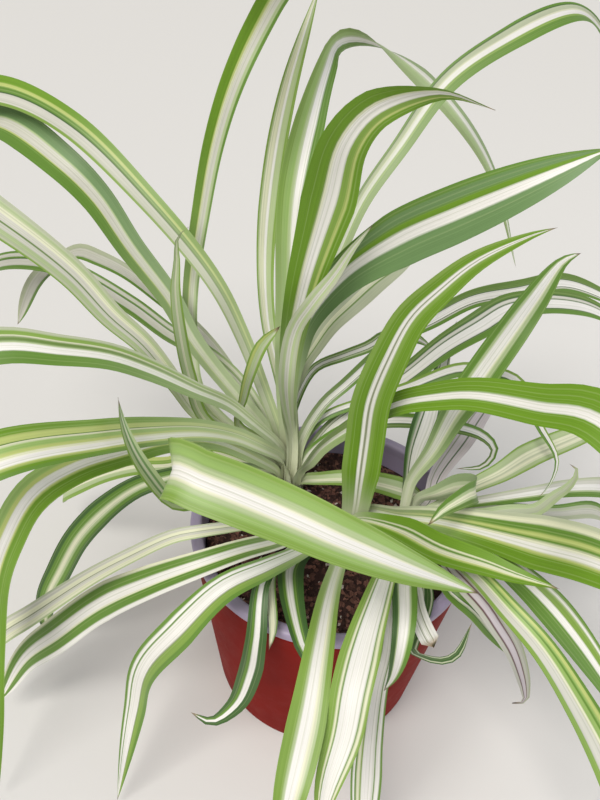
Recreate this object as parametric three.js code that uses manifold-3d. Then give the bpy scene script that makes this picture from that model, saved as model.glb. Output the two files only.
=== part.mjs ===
// A potted spider plant: three tufts of striped, arching blades in a white grow pot inside a red pot.
// Millimetres, +Z up, origin at the middle of the red pot's underside, the fullest side towards -Y.
import * as THREE from "three";
import { mergeVertices } from "three/addons/utils/BufferGeometryUtils.js";
import Module from "manifold-3d";

const wasm = await Module();
wasm.setup();

// Driving dimensions.
const gap = 0.3; // clearance wherever two pieces meet
const potSides = 64;

const redPot = { height: 95.4, rimRadius: 59.4, footRadius: 49, wall: 2.2, floor: 3, lip: 1.2 };
const growPot = {
  top: 100,
  rimRadius: 60, // the rim hangs over the red pot's wall
  rimWidth: 5,
  rimDepth: 4.2,
  wall: 1.6,
  floor: 2,
  drainCount: 6,
  drainRadius: 4,
  drainCircle: 26,
};
const soilBed = { level: 87, crumb: 1.1, rings: 7, sides: 48, seed: 11 };

// The tufts: bundles of leaf sheaths that stand in plain holes in the soil.
const tuftShape = { foot: 70, sides: 24, ribs: 8, ribDepth: 0.35 };
const tufts = {
  left: { x: -19, y: 24, radius: 8.5, top: 132 },
  middle: { x: 8, y: -4, radius: 8, top: 112 },
  right: { x: 31, y: 3, radius: 9, top: 112 },
};

// The blades.
const blade = {
  thickness: 0.7,
  step: 13, // length of one facet along the blade
  fewestSteps: 9,
  mostSteps: 22,
  opening: 1.5, // how late the blade opens from its root's width to its full width
  tipWidth: 0.9,
  channel: 0.1, // how far the edges stand above the midrib, as a share of the width
  rootChannel: 0.22, // what the channel gains at the root
  turn: 0.35, // how far the face turns towards the light at each step
};
const light = new THREE.Vector3(-10, -170, 400); // the blades turn their upper faces to this point

const greenLeaf = { color: 0x6b9a2a, roughness: 0.45, metalness: 0 };
const paleLeaf = { color: 0xcfd6ad, roughness: 0.5, metalness: 0 };
const redPlastic = { color: 0x74261f, roughness: 0.5, metalness: 0 };
const whitePlastic = { color: 0xb9b2c6, roughness: 0.45, metalness: 0 };
const darkSoil = { color: 0x3a2420, roughness: 0.95, metalness: 0 };

// Each blade: the height on its tuft's axis where it is rooted, its width at the root and in full, the
// share of its length where it is full, how late it tapers after that, and the points that its midrib
// passes on the way to the tip. roll turns the face about the midrib, in degrees, in even
// steps from root to tip. Left to themselves the midribs clear each other by a few millimetres.
const blades = {
  left: [
    // broad, out to the front left, then folded back over the pot
    { root: 101, width: [7, 18], fullAt: 0.4, taper: 4,
      roll: [180, 180, 180, 180, 180, 180, 150, 112, 150, 180, 180, 180, 180, 180, 180, 180], route: [
      [-19, -4, 109], [-29, -15, 128], [-39, -34, 148], [-46, -45, 164], [-50, -51, 173],
      [-53, -56, 179], [-49, -61, 184], [-43, -64, 184], [-34, -66, 182], [-18, -69, 177],
      [-3, -72, 172], [15, -73, 164], [28, -72, 157], [41, -71, 150],
    ] },
    // thin, behind the fold, its tip turned up
    { root: 98, width: [2, 7.5], fullAt: 0.65, taper: 2.2, route: [
      [-37, -21, 131], [-50, -35, 143], [-58, -43, 151], [-64, -41, 158], [-70, -37, 166],
      [-74, -32, 174], [-76, -27, 181],
    ] },
    // creased near its middle, its tip by the table
    { root: 98, width: [4, 13], fullAt: 0.45, taper: 2.5, route: [
      [-51, 1, 138], [-66, -12, 148], [-78, -23, 152], [-92, -33, 153], [-104, -41, 148],
      [-115, -47, 130], [-124, -51, 106], [-129, -60, 73], [-131, -71, 37], [-133, -81, 5],
    ] },
    // broad, level, to the left
    { root: 108, width: [5.5, 16], fullAt: 0.65, taper: 2.5, route: [
      [-31, 12, 126], [-42, 6, 137], [-54, -4, 148], [-69, -20, 160], [-82, -33, 168],
      [-107, -50, 174], [-140, -64, 160], [-168, -78, 132],
    ] },
    // broad, above it
    { root: 112, width: [4, 13.5], fullAt: 0.65, taper: 2.5, route: [
      [-35, 18, 133], [-46, 16, 145], [-58, 10, 156], [-73, 5, 168], [-86, 1, 176],
      [-102, -4, 181], [-121, -8, 184], [-150, -16, 176], [-182, -24, 150],
    ] },
    // thin and upright
    { root: 106, width: [2.5, 6], fullAt: 0.4, taper: 2.5, route: [
      [-57, 24, 129], [-63, 25, 151], [-65, 24, 170], [-66, 24, 192], [-65, 25, 203],
      [-64, 25, 213], [-60, 25, 217],
    ] },
    // down to the table at the left
    { root: 99, width: [4, 12.5], fullAt: 0.5, taper: 4, route: [
      [-37, 16, 109], [-56, 11, 112], [-72, 7, 109], [-83, 5, 105], [-96, 2, 95], [-110, -2, 79],
      [-122, -5, 56], [-131, -8, 36], [-136, -8, 5],
    ] },
    // under it, further back
    { root: 94, width: [6.5, 11.5], fullAt: 0.7, taper: 2.5, route: [
      [-38, 26, 102], [-57, 35, 99], [-78, 40, 84], [-98, 47, 74], [-118, 53, 60], [-142, 59, 39],
      [-150, 78, 12],
    ] },
    // long, out to the left
    { root: 99, width: [5, 14.5], fullAt: 0.6, taper: 2.5, route: [
      [-45, 25, 118], [-62, 29, 129], [-70, 30, 142], [-82, 32, 160], [-95, 34, 172],
      [-110, 39, 187], [-136, 45, 205], [-160, 52, 216], [-192, 62, 200], [-218, 70, 166],
    ] },
    // narrow, far back, its tip hanging
    { root: 98, width: [4, 9.5], fullAt: 0.8, taper: 2.5, route: [
      [-58, 65, 137], [-90, 84, 154], [-104, 91, 160], [-117, 96, 163], [-128, 101, 163],
      [-140, 105, 155], [-156, 111, 140], [-176, 119, 106],
    ] },
    // narrow, over it
    { root: 101, width: [7.5, 10.5], fullAt: 0.8, taper: 2.5, route: [
      [-44, 45, 132], [-61, 56, 140], [-78, 63, 145], [-98, 74, 152], [-135, 91, 160],
      [-171, 106, 151], [-190, 125, 125], [-210, 138, 95],
    ] },
    // broad arch, back left
    { root: 109, width: [6, 16.5], fullAt: 0.6, taper: 2.5, route: [
      [-64, 47, 152], [-75, 54, 169], [-92, 62, 188], [-106, 70, 205], [-121, 77, 216],
      [-152, 97, 224], [-185, 118, 205], [-215, 140, 168],
    ] },
    // the longest arch, back left
    { root: 105, width: [5, 14], fullAt: 0.7, taper: 2.5, route: [
      [-43, 40, 163], [-55, 44, 186], [-82, 57, 212], [-114, 77, 231], [-151, 101, 235],
      [-190, 118, 222], [-228, 142, 186],
    ] },
    // short and thin, upright
    { root: 113, width: [4.5, 5.5], fullAt: 0.8, taper: 2.5, route: [
      [-43, 19, 132], [-41, 23, 142], [-38, 26, 155], [-34, 31, 165], [-27, 35, 172],
    ] },
    // tall, upright, back left
    { root: 98, width: [5, 10], fullAt: 0.7, taper: 2.5, route: [
      [-61, 39, 130], [-67, 53, 150], [-68, 64, 169], [-64, 76, 200], [-59, 83, 226],
      [-52, 87, 248], [-42, 90, 269], [-32, 82, 285], [-19, 57, 292], [-6, 30, 292],
    ] },
    // tall, upright, its back to the front
    { root: 110, width: [5, 9], fullAt: 0.55, taper: 3, route: [
      [-24, 44, 127], [-34, 68, 153], [-37, 84, 180], [-35, 96, 216], [-30, 99, 246],
      [-20, 98, 283],
    ] },
    // tall, tipped over to the back right
    { root: 118, width: [8.5, 14.5], fullAt: 0.42, taper: 1.15,
      roll: [0, 0, 0, 60, 175, 180, 180], route: [
      [-23, 35, 134], [-25, 52, 174], [-25, 71, 218], [-17, 91, 255], [-12, 100, 264],
      [-1, 106, 264], [33, 114, 243], [64, 118, 209], [86, 116, 163],
    ] },
    // the tall middle blade, bent over at the top
    { root: 120, width: [5, 18], fullAt: 0.6, taper: 1.3,
      roll: [0, 0, 0, 0, 0, 0, 0, 0, 0, 45, 60], route: [
      [-22, 19, 146], [-22, 21, 172], [-19, 19, 198], [-12, 15, 235], [-9, 9, 255], [-2, 3, 267],
      [13, -12, 277], [25, -25, 277],
    ] },
    // thin, in front of the tall ones
    { root: 121, width: [3, 6.5], fullAt: 0.4, taper: 2.5, route: [
      [-23, 11, 164], [-21, 13, 185], [-15, 12, 198], [-8, 13, 209], [-3, 13, 219], [3, 12, 229],
    ] },
    // long and narrow, back right
    { root: 117, width: [3.5, 10], fullAt: 0.7, taper: 2, route: [
      [-21, 35, 141], [-17, 41, 162], [-12, 45, 179], [-5, 50, 200], [2, 56, 218], [14, 64, 236],
      [30, 79, 256], [53, 97, 268], [83, 122, 275], [115, 160, 258],
    ] },
    // broad, up to the right
    { root: 120, width: [4, 19], fullAt: 0.62, taper: 3, route: [
      [-21, 28, 144], [-19, 32, 162], [-16, 29, 180], [-4, 27, 201], [13, 20, 220], [29, 12, 234],
      [40, 7, 243], [51, 4, 251], [67, 3, 261],
    ] },
    // narrow, under it
    { root: 116, width: [4, 10], fullAt: 0.7, taper: 2.5, route: [
      [-21, 41, 130], [-17, 48, 143], [-12, 51, 152], [-6, 54, 162], [2, 58, 170], [14, 69, 177],
      [30, 83, 181],
    ] },
    // thin, low, back right
    { root: 112, width: [3, 6.5], fullAt: 0.8, taper: 2.5, route: [
      [-21, 33, 114], [-18, 45, 128], [-11, 57, 136], [2, 60, 142], [13, 63, 146], [20, 67, 149],
      [34, 72, 146], [43, 73, 141],
    ] },
    // long arch, far back right
    { root: 108, width: [4.5, 11.5], fullAt: 0.6, taper: 2.5, route: [
      [-17, 24, 118], [-7, 31, 136], [2, 37, 143], [25, 57, 156], [39, 67, 159], [59, 84, 161],
      [88, 105, 156], [115, 125, 151], [144, 138, 138], [176, 143, 119],
    ] },
    // long arch beside it
    { root: 99, width: [5.5, 13.5], fullAt: 0.5, taper: 3, route: [
      [-16, 22, 104], [-3, 31, 122], [4, 34, 128], [28, 46, 142], [45, 56, 153], [61, 66, 159],
      [76, 78, 162], [104, 94, 157], [131, 106, 146], [158, 108, 127],
    ] },
    // thin, its tip turned down and in
    { root: 104, width: [3.5, 6.5], fullAt: 0.55, taper: 1.3, route: [
      [-8, 30, 128], [13, 35, 137], [28, 37, 143], [50, 41, 152], [64, 39, 153], [74, 36, 151],
      [84, 25, 138], [92, 15, 128], [89, 7, 121], [85, 4, 116],
    ] },
    // broad arch, right, over the others
    { root: 108, width: [5, 16.5], fullAt: 0.7, taper: 2.5, roll: [180, 180], route: [
      [-14, 16, 113], [-7, 13, 128], [1, 10, 140], [19, 3, 162], [32, -6, 174], [42, -14, 182],
      [58, -29, 191], [70, -43, 199], [92, -72, 190], [112, -92, 166],
    ] },
    // short, its tip curled under
    { root: 99, width: [4.5, 6.5], fullAt: 0.4, taper: 3, route: [
      [-7, 24, 119], [5, 27, 127], [21, 28, 132], [44, 28, 132], [63, 28, 127], [69, 26, 121],
      [65, 22, 115], [53, 20, 114],
    ] },
    // short, low, over the soil
    { root: 96, width: [6.5, 10.5], fullAt: 0.8, taper: 2.5, route: [
      [-8, 17, 104], [5, 16, 107], [18, 16, 106], [30, 16, 103], [41, 16, 99],
    ] },
  ],
  middle: [
    // the upright front blade
    { root: 102, width: [9.5, 15], fullAt: 0.2, taper: 2.5, route: [
      [9, -5, 112], [9, -4, 127], [9, -2, 147], [9, -2, 167], [13, -3, 188], [18, -3, 204],
      [25, -5, 216], [34, -7, 228], [47, -12, 240], [52, -15, 244],
    ] },
    // long, greyish, left
    { root: 103, width: [3.5, 9.5], fullAt: 0.8, taper: 2.5, route: [
      [-22, -14, 112], [-37, -23, 117], [-52, -28, 118], [-62, -29, 115], [-79, -33, 106],
      [-95, -36, 95], [-119, -42, 76], [-134, -43, 62], [-158, -54, 40],
    ] },
    // broad, down to the table, front left
    { root: 97, width: [5.5, 16], fullAt: 0.55, taper: 4, route: [
      [-13, -12, 102], [-23, -20, 105], [-36, -28, 108], [-51, -35, 107], [-71, -37, 96],
      [-93, -36, 77], [-113, -38, 56], [-130, -39, 37], [-145, -45, 10],
    ] },
    // broad, down to the table, front
    { root: 103, width: [4, 13], fullAt: 0.45, taper: 2, route: [
      [-7, -23, 109], [-13, -31, 113], [-25, -44, 119], [-39, -53, 118], [-54, -61, 103],
      [-68, -63, 79], [-74, -66, 52], [-83, -81, 3],
    ] },
    // over the rim and down the pot
    { root: 100, width: [3, 9], fullAt: 0.65, taper: 2.5, route: [
      [-7, -22, 106], [-19, -33, 111], [-26, -44, 113], [-27, -61, 101], [-29, -64, 82],
      [-34, -67, 64], [-43, -70, 56], [-51, -69, 60],
    ] },
    // over the rim, short
    { root: 91, width: [3.5, 11], fullAt: 0.4, taper: 1.6, route: [
      [-8, -14, 96], [-16, -27, 100], [-16, -42, 105], [-11, -62, 104], [-8, -64, 97],
      [-3, -67, 80],
    ] },
    // straight out to the front
    { root: 91, width: [5, 12.5], fullAt: 0.7, taper: 2.5, route: [
      [7, -12, 97], [2, -30, 104], [-2, -50, 111], [-5, -72, 114], [-8, -93, 107], [-12, -112, 97],
      [-14, -121, 80],
    ] },
    // pointed, front right
    { root: 100, width: [3.5, 11.5], fullAt: 0.4, taper: 2.5, route: [
      [11, -11, 112], [25, -23, 121], [37, -38, 129], [51, -48, 135], [59, -53, 137],
      [72, -59, 139],
    ] },
    // the broadest, right
    { root: 98, width: [5.5, 19], fullAt: 0.55, taper: 2.5, route: [
      [13, -3, 109], [26, -11, 116], [37, -17, 122], [50, -25, 128], [68, -44, 143],
      [79, -61, 157], [95, -75, 160], [113, -92, 150],
    ] },
  ],
  right: [
    // upright, back right
    { root: 104, width: [4, 13], fullAt: 0.45, taper: 3, route: [
      [32, 9, 115], [39, 10, 134], [44, 12, 151], [51, 15, 168], [61, 22, 186], [67, 28, 194],
      [79, 43, 204], [83, 45, 206], [87, 48, 206],
    ] },
    // short, beside it
    { root: 102, width: [4, 12], fullAt: 0.38, taper: 1.2, route: [
      [32, 10, 113], [33, 15, 128], [36, 21, 137], [40, 34, 142], [44, 48, 144], [48, 62, 148],
      [53, 77, 154],
    ] },
    // short, behind it
    { root: 95, width: [5, 10], fullAt: 0.55, taper: 3, route: [
      [43, 13, 101], [46, 21, 107], [58, 37, 116], [67, 51, 120], [79, 68, 122],
    ] },
    // broad, level, right
    { root: 100, width: [4, 11], fullAt: 0.45, taper: 3, route: [
      [42, 3, 105], [57, 7, 116], [69, 12, 120], [84, 23, 122], [108, 38, 122], [123, 49, 120],
      [140, 58, 112],
    ] },
    // folded over near its tip
    { root: 100, width: [3, 9.8], fullAt: 0.45, taper: 3, roll: [180, 180], route: [
      [34, 6, 106], [41, 0, 118], [47, -4, 127], [51, -11, 135], [51, -16, 138], [47, -21, 141],
      [42, -25, 141], [37, -28, 139], [32, -32, 135],
    ] },
    // thin, hooked at its tip
    { root: 99, width: [2.5, 6], fullAt: 0.5, taper: 2.5, route: [
      [41, -2, 109], [59, -7, 115], [72, -5, 116], [82, -4, 117], [89, 0, 121], [95, 3, 125],
      [98, 7, 130], [95, 10, 131],
    ] },
    // level, right
    { root: 99, width: [3.5, 11.5], fullAt: 0.8, taper: 2.5, route: [
      [46, 4, 106], [62, 5, 110], [87, 12, 110], [103, 20, 106], [123, 28, 100], [150, 46, 78],
    ] },
    // level, right, below it
    { root: 96, width: [4, 8.5], fullAt: 0.75, taper: 2.5, route: [
      [51, 6, 102], [63, 6, 105], [97, 11, 100], [125, 23, 89], [142, 20, 70],
    ] },
    // down to the front right
    { root: 99, width: [5, 12.5], fullAt: 0.55, taper: 2, route: [
      [44, -8, 106], [58, -24, 114], [68, -38, 117], [80, -50, 113], [100, -66, 95],
      [114, -76, 76],
    ] },
    // broad, down to the front right
    { root: 107, width: [4.5, 13.5], fullAt: 0.85, taper: 2.5, route: [
      [38, -23, 113], [49, -43, 124], [58, -59, 126], [68, -70, 122], [80, -81, 110],
      [93, -94, 94], [108, -117, 72],
    ] },
    // down, its dry tip curled in
    { root: 102, width: [3, 8.5], fullAt: 0.45, taper: 3, route: [
      [45, -29, 109], [47, -42, 117], [54, -51, 116], [59, -55, 111], [65, -58, 103],
      [70, -60, 93], [75, -62, 80], [76, -63, 74], [72, -63, 72],
    ] },
    // short, down
    { root: 96, width: [2.5, 5.5], fullAt: 0.65, taper: 2.5, route: [
      [39, -29, 108], [43, -44, 112], [51, -48, 108], [60, -49, 97], [70, -50, 84],
    ] },
    // over the front rim
    { root: 98, width: [4.5, 9.5], fullAt: 0.4, taper: 2.5, route: [
      [28, -25, 106], [26, -43, 112], [25, -57, 113], [24, -65, 107], [23, -68, 95], [21, -68, 84],
    ] },
    // down the front of the pot
    { root: 91, width: [4, 12], fullAt: 0.75, taper: 2.5, route: [
      [25, -34, 99], [21, -52, 104], [20, -61, 98], [19, -64, 77], [18, -75, 60], [19, -86, 34],
      [20, -95, 9],
    ] },
    // broad, out to the front
    { root: 102, width: [4, 13.5], fullAt: 0.6, taper: 2.5, route: [
      [22, -30, 112], [17, -46, 117], [14, -56, 119], [10, -69, 118], [6, -84, 113], [4, -95, 104],
      [0, -106, 94], [-2, -115, 79],
    ] },
  ],
};

// Old outer leaves, one piece with their tuft.
const oldLeaves = {
  middle: [
    // thin, over the rim
    { root: 98, width: [2.5, 3.5], fullAt: 0.8, taper: 2.5, route: [
      [-18, -28, 109], [-23, -38, 108], [-21, -59, 104], [-22, -64, 99],
    ] },
  ],
  right: [
    // over the rim, curled up like a hook
    { root: 94, width: [2, 5], fullAt: 0.45, taper: 3, route: [
      [37, -36, 102], [33, -52, 105], [30, -58, 97], [36, -58, 92], [41, -59, 92], [46, -59, 96],
      [50, -54, 110],
    ] },
    // cut off square, over the rim
    { root: 95, width: [3, 7], fullAt: 0.6, taper: 2.5, cutOff: true, route: [
      [31, -37, 104], [31, -49, 107], [33, -57, 107], [36, -63, 106],
    ] },
  ],
};

// A closed surface's buffer geometry as a manifold-3d solid, and back.
function toSolid(geometry) {
  const bare = new THREE.BufferGeometry();
  bare.setAttribute("position", geometry.getAttribute("position"));
  if (geometry.index) bare.setIndex(geometry.index);
  const merged = mergeVertices(bare, 1e-4);
  return new wasm.Manifold(
    new wasm.Mesh({
      numProp: 3,
      vertProperties: merged.attributes.position.array,
      triVerts: new Uint32Array(merged.index.array),
    }),
  );
}

function toGeometry(solid) {
  const mesh = solid.getMesh();
  const geometry = new THREE.BufferGeometry();
  geometry.setAttribute("position", new THREE.BufferAttribute(mesh.vertProperties, 3));
  geometry.setIndex(new THREE.BufferAttribute(mesh.triVerts, 1));
  geometry.computeVertexNormals();
  return geometry;
}

// A profile of [radius, height] pairs turned about a vertical axis.
function turned(profile, sides, x = 0, y = 0) {
  const points = profile.map(([radius, height]) => new THREE.Vector2(radius, height));
  const geometry = new THREE.LatheGeometry(points, sides);
  geometry.rotateX(Math.PI / 2);
  geometry.translate(x, y, 0);
  return geometry;
}

// The red pot's outer radius at a height.
function redRadius(height) {
  return redPot.footRadius + ((redPot.rimRadius - redPot.footRadius) * height) / redPot.height;
}

// The grow pot's outer radius below its rim, a gap inside the red pot's wall.
function growRadius(height) {
  return redRadius(height) - redPot.wall - 2 * gap;
}

function redPotGeometry() {
  const { height, rimRadius, footRadius, wall, floor, lip } = redPot;
  const edge = 1.5;
  return turned(
    [
      [0, 0],
      [footRadius - edge, 0],
      [redRadius(edge), edge],
      [rimRadius - 0.2, height - lip],
      [rimRadius - 0.6, height],
      [rimRadius - wall + 0.4, height],
      [rimRadius - wall, height - lip],
      [redRadius(floor + edge) - wall, floor + edge],
      [redRadius(floor) - wall - edge, floor],
      [0, floor],
    ],
    potSides,
  );
}

// The grow pot hangs by its rolled rim on the red pot's wall, and drains through its floor.
function growPotGeometry() {
  const { top, rimRadius, rimWidth, rimDepth, wall, floor } = growPot;
  const under = redPot.floor + gap;
  const skirt = redPot.height + gap; // the rim's underside, just above the red wall
  const shoulder = growRadius(skirt);
  const innerRim = rimRadius - rimWidth;
  const shell = toSolid(
    turned(
      [
        [0, under],
        [growRadius(under) - 1.5, under],
        [growRadius(under + 1.5), under + 1.5],
        [shoulder, skirt],
        [rimRadius - 0.5, skirt],
        [rimRadius, skirt + 0.5],
        [rimRadius, top - 1.2],
        [rimRadius - 0.5, top - 0.4],
        [rimRadius - 1.6, top],
        [innerRim + 1.6, top],
        [innerRim + 0.4, top - 0.5],
        [innerRim, top - 1.6],
        [shoulder - wall, top - rimDepth - 1],
        [growRadius(under + floor) - wall, under + floor],
        [0, under + floor],
      ],
      potSides,
    ),
  );
  const { drainCount, drainRadius, drainCircle } = growPot;
  let drained = shell;
  for (let i = 0; i < drainCount; i += 1) {
    const turn = ((i + 0.5) / drainCount) * 2 * Math.PI;
    const drill = turned(
      [
        [0, under - 1],
        [drainRadius, under - 1],
        [drainRadius, under + floor + 1],
        [0, under + floor + 1],
      ],
      16,
      drainCircle * Math.cos(turn),
      drainCircle * Math.sin(turn),
    );
    drained = drained.subtract(toSolid(drill));
  }
  return toGeometry(drained);
}

// A tuft's radius grows from its foot to its shoulder and closes to its top, with shallow ribs where
// the sheaths overlap. grow adds the same clearance all over.
function tuftGeometry(tuft, grow = 0) {
  const { foot, sides, ribs, ribDepth } = tuftShape;
  const { radius, top } = tuft;
  const geometry = turned(
    [
      [0, foot - grow],
      [radius * 0.75 + grow, foot - grow],
      [radius * 0.94 + grow, soilBed.level - 4],
      [radius + grow, soilBed.level + 6],
      [radius * 0.97 + grow, top - 14],
      [radius * 0.8 + grow, top - 6],
      [radius * 0.45 + grow, top - 1.5 + grow],
      [0, top + grow],
    ],
    sides,
  );
  const position = geometry.getAttribute("position");
  for (let i = 0; i < position.count; i += 1) {
    const x = position.getX(i);
    const y = position.getY(i);
    const reach = Math.hypot(x, y);
    if (reach < 0.1) continue;
    const wave = 1 + (ribDepth * Math.cos(ribs * Math.atan2(y, x))) / reach;
    position.setXY(i, x * wave, y * wave);
  }
  geometry.translate(tuft.x, tuft.y, 0);
  return geometry;
}

// Soil: a disc whose upper face is raised in crumbs, with a plain hole for each tuft.
function soilGeometry() {
  const { level, crumb, rings, sides, seed } = soilBed;
  const under = redPot.floor + gap + growPot.floor + gap;
  const wallGap = growPot.wall + gap;
  const footRadius = growRadius(under) - wallGap - 1;
  const edgeRadius = growRadius(level) - wallGap - 0.4;
  const profile = [[0, under], [footRadius, under]];
  for (let i = rings; i >= 0; i -= 1) {
    profile.push([(edgeRadius * i) / rings, level]);
  }
  const geometry = turned(profile, sides);
  const position = geometry.getAttribute("position");
  for (let i = 0; i < position.count; i += 1) {
    const x = position.getX(i);
    const y = position.getY(i);
    const reach = Math.hypot(x, y);
    if (position.getZ(i) < level - 0.01 || reach > edgeRadius - 1) continue;
    const bump = Math.sin(x * 0.61 + seed) * Math.cos(y * 0.53 - seed) + Math.sin(x * 1.9 + y * 2.3);
    position.setZ(i, level + crumb * bump * 0.5);
  }
  let soil = toSolid(geometry);
  for (const tuft of Object.values(tufts)) {
    soil = soil.subtract(toSolid(tuftGeometry(tuft, gap)));
  }
  return toGeometry(soil);
}

// The midrib's curve, from the tuft's axis through the blade's points to its tip.
function midribOf(tuft, { root, route }) {
  const start = new THREE.Vector3(tuft.x, tuft.y, root);
  const points = [start, ...route.map((point) => new THREE.Vector3(...point))];
  const midrib = new THREE.CatmullRomCurve3(points, false, "centripetal");
  midrib.arcLengthDivisions = 400;
  return midrib;
}

function rollAt(roll, t) {
  const place = t * (roll.length - 1);
  const before = Math.min(Math.floor(place), roll.length - 2);
  const share = place - before;
  return THREE.MathUtils.degToRad(roll[before] * (1 - share) + roll[before + 1] * share);
}

// A blade's width at t: it opens from its root to its full width, then tapers to a fine tip.
function widthAt({ width, fullAt, taper, cutOff }, t) {
  const [root, full] = width;
  if (t < fullAt) return root + (full - root) * Math.pow(t / fullAt, blade.opening);
  if (cutOff) return full;
  const towardsTip = (t - fullAt) / (1 - fullAt);
  return Math.max(blade.tipWidth, full * (1 - Math.pow(towardsTip, taper)));
}

// The direction across a blade. It starts with the upper face to the light, and from there it is
// carried along the midrib and turned a little towards the light at every step.
function turnedAcross(centre, along, before) {
  const lit = along.clone().cross(light.clone().sub(centre)).normalize();
  if (!before) return lit;
  const carried = before.clone().addScaledVector(along, -before.dot(along)).normalize();
  if (lit.dot(carried) < 0) lit.negate();
  const turned = carried.lerp(lit, blade.turn);
  return turned.addScaledVector(along, -turned.dot(along)).normalize();
}

// A blade is a shallow channel: at every step a ring of six points, three above and three below,
// and between two steps each of the six strips is split along the same diagonal on both faces.
function bladeGeometry(tuft, entry) {
  const midrib = midribOf(tuft, entry);
  const roll = entry.roll || [0, 0];
  const wanted = Math.round(midrib.getLength() / blade.step);
  const steps = THREE.MathUtils.clamp(wanted, blade.fewestSteps, blade.mostSteps);
  const vertices = [];
  let across = null;
  for (let i = 0; i <= steps; i += 1) {
    const t = i / steps;
    const centre = midrib.getPointAt(t);
    const along = midrib.getTangentAt(t);
    across = turnedAcross(centre, along, across);
    const side = across.clone().applyAxisAngle(along, rollAt(roll, t));
    const face = side.clone().cross(along).normalize();
    const width = widthAt(entry, t);
    const rise = width * (blade.channel + blade.rootChannel * Math.pow(1 - t, 3));
    const half = blade.thickness / 2;
    const ring = [
      [-width / 2, rise + half],
      [0, half],
      [width / 2, rise + half],
      [width / 2, rise - half],
      [0, -half],
      [-width / 2, rise - half],
    ];
    for (const [sideways, raised] of ring) {
      const point = centre.clone().addScaledVector(side, sideways).addScaledVector(face, raised);
      vertices.push(point.x, point.y, point.z);
    }
  }
  const triangles = [];
  for (let i = 0; i < steps; i += 1) {
    for (let j = 0; j < 6; j += 1) {
      const a = i * 6 + j;
      const b = i * 6 + ((j + 1) % 6);
      if (j < 3) triangles.push(a, b, a + 6, b, b + 6, a + 6);
      else triangles.push(a, b, b + 6, a, b + 6, a + 6);
    }
  }
  const last = steps * 6;
  triangles.push(0, 4, 1, 0, 5, 4, 1, 3, 2, 1, 4, 3);
  for (const [a, b, c] of [[0, 1, 4], [0, 4, 5], [1, 2, 3], [1, 3, 4]]) {
    triangles.push(last + a, last + b, last + c);
  }
  const geometry = new THREE.BufferGeometry();
  geometry.setAttribute("position", new THREE.BufferAttribute(new Float32Array(vertices), 3));
  geometry.setIndex(triangles);
  return geometry;
}

function largest(solid) {
  return solid.decompose().reduce((best, piece) => (piece.volume() > best.volume() ? piece : best));
}

function namedMesh(name, geometry, look) {
  const mesh = new THREE.Mesh(geometry, new THREE.MeshStandardMaterial(look));
  mesh.name = name;
  return mesh;
}

const plant = new THREE.Group();
const pots = new THREE.Group();
pots.add(namedMesh("red_pot", redPotGeometry(), redPlastic));
pots.add(namedMesh("grow_pot", growPotGeometry(), whitePlastic));
pots.add(namedMesh("soil", soilGeometry(), darkSoil));
plant.add(pots);

// A tuft keeps the sheaths of its old leaves; the other blades are cut back a gap from every tuft.
const clearance = Object.values(tufts).map((tuft) => toSolid(tuftGeometry(tuft, gap)));
for (const [side, tuft] of Object.entries(tufts)) {
  const clump = new THREE.Group();
  let core = toSolid(tuftGeometry(tuft));
  for (const entry of oldLeaves[side] || []) {
    core = core.add(toSolid(bladeGeometry(tuft, entry)));
  }
  clump.add(namedMesh(`tuft_${side}`, toGeometry(core), paleLeaf));
  blades[side].forEach((entry, index) => {
    let solid = toSolid(bladeGeometry(tuft, entry));
    for (const body of clearance) solid = solid.subtract(body);
    const number = String(index + 1).padStart(2, "0");
    clump.add(namedMesh(`leaf_${side}_${number}`, toGeometry(largest(solid)), greenLeaf));
  });
  plant.add(clump);
}

export default plant;
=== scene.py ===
# A potted spider plant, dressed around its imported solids. Metres, +Z up, the fullest side towards -Y.
import math
import random
import bpy
import numpy as np
from mathutils import Matrix, Vector


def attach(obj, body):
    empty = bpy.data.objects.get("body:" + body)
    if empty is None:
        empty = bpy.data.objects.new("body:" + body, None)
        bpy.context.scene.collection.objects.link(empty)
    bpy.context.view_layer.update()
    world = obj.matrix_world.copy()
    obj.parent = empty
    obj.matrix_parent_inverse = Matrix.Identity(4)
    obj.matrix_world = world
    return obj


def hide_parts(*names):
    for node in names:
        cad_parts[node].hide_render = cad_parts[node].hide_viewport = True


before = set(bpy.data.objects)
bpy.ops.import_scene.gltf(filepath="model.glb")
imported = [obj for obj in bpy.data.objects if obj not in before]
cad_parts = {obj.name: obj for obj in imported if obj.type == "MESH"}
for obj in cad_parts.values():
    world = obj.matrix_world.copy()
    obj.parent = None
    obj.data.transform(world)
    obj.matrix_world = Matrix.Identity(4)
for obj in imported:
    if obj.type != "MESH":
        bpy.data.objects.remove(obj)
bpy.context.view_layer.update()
scene = bpy.context.scene
mm = 0.001
perMetre = 1000  # a pattern of 28 mm has the scale perMetre / 28
fullTurn = 2 * math.pi
nearlyOne = 0.999  # just short of a margin or of a ramp's end
whole = (0.0, 1.0)


def linear(hexColour):
    # sRGB hex to the linear numbers that the shaders take
    channels = [int(hexColour[i:i + 2], 16) / 255 for i in (0, 2, 4)]
    return tuple(c / 12.92 if c <= 0.04045 else ((c + 0.055) / 1.055) ** 2.4 for c in channels) + (1.0,)


def addNode(tree, kind, inputs=None, **settings):
    # a node with its settings; an input is a number, a colour, another node or one of its outputs
    made = tree.nodes.new(kind)
    for name, value in settings.items():
        setattr(made, name, value)
    for key, value in (inputs or {}).items():
        if isinstance(value, bpy.types.Node):
            value = value.outputs[0]
        if isinstance(value, bpy.types.NodeSocket):
            tree.links.new(value, made.inputs[key])
        else:
            made.inputs[key].default_value = value
    return made


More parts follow.
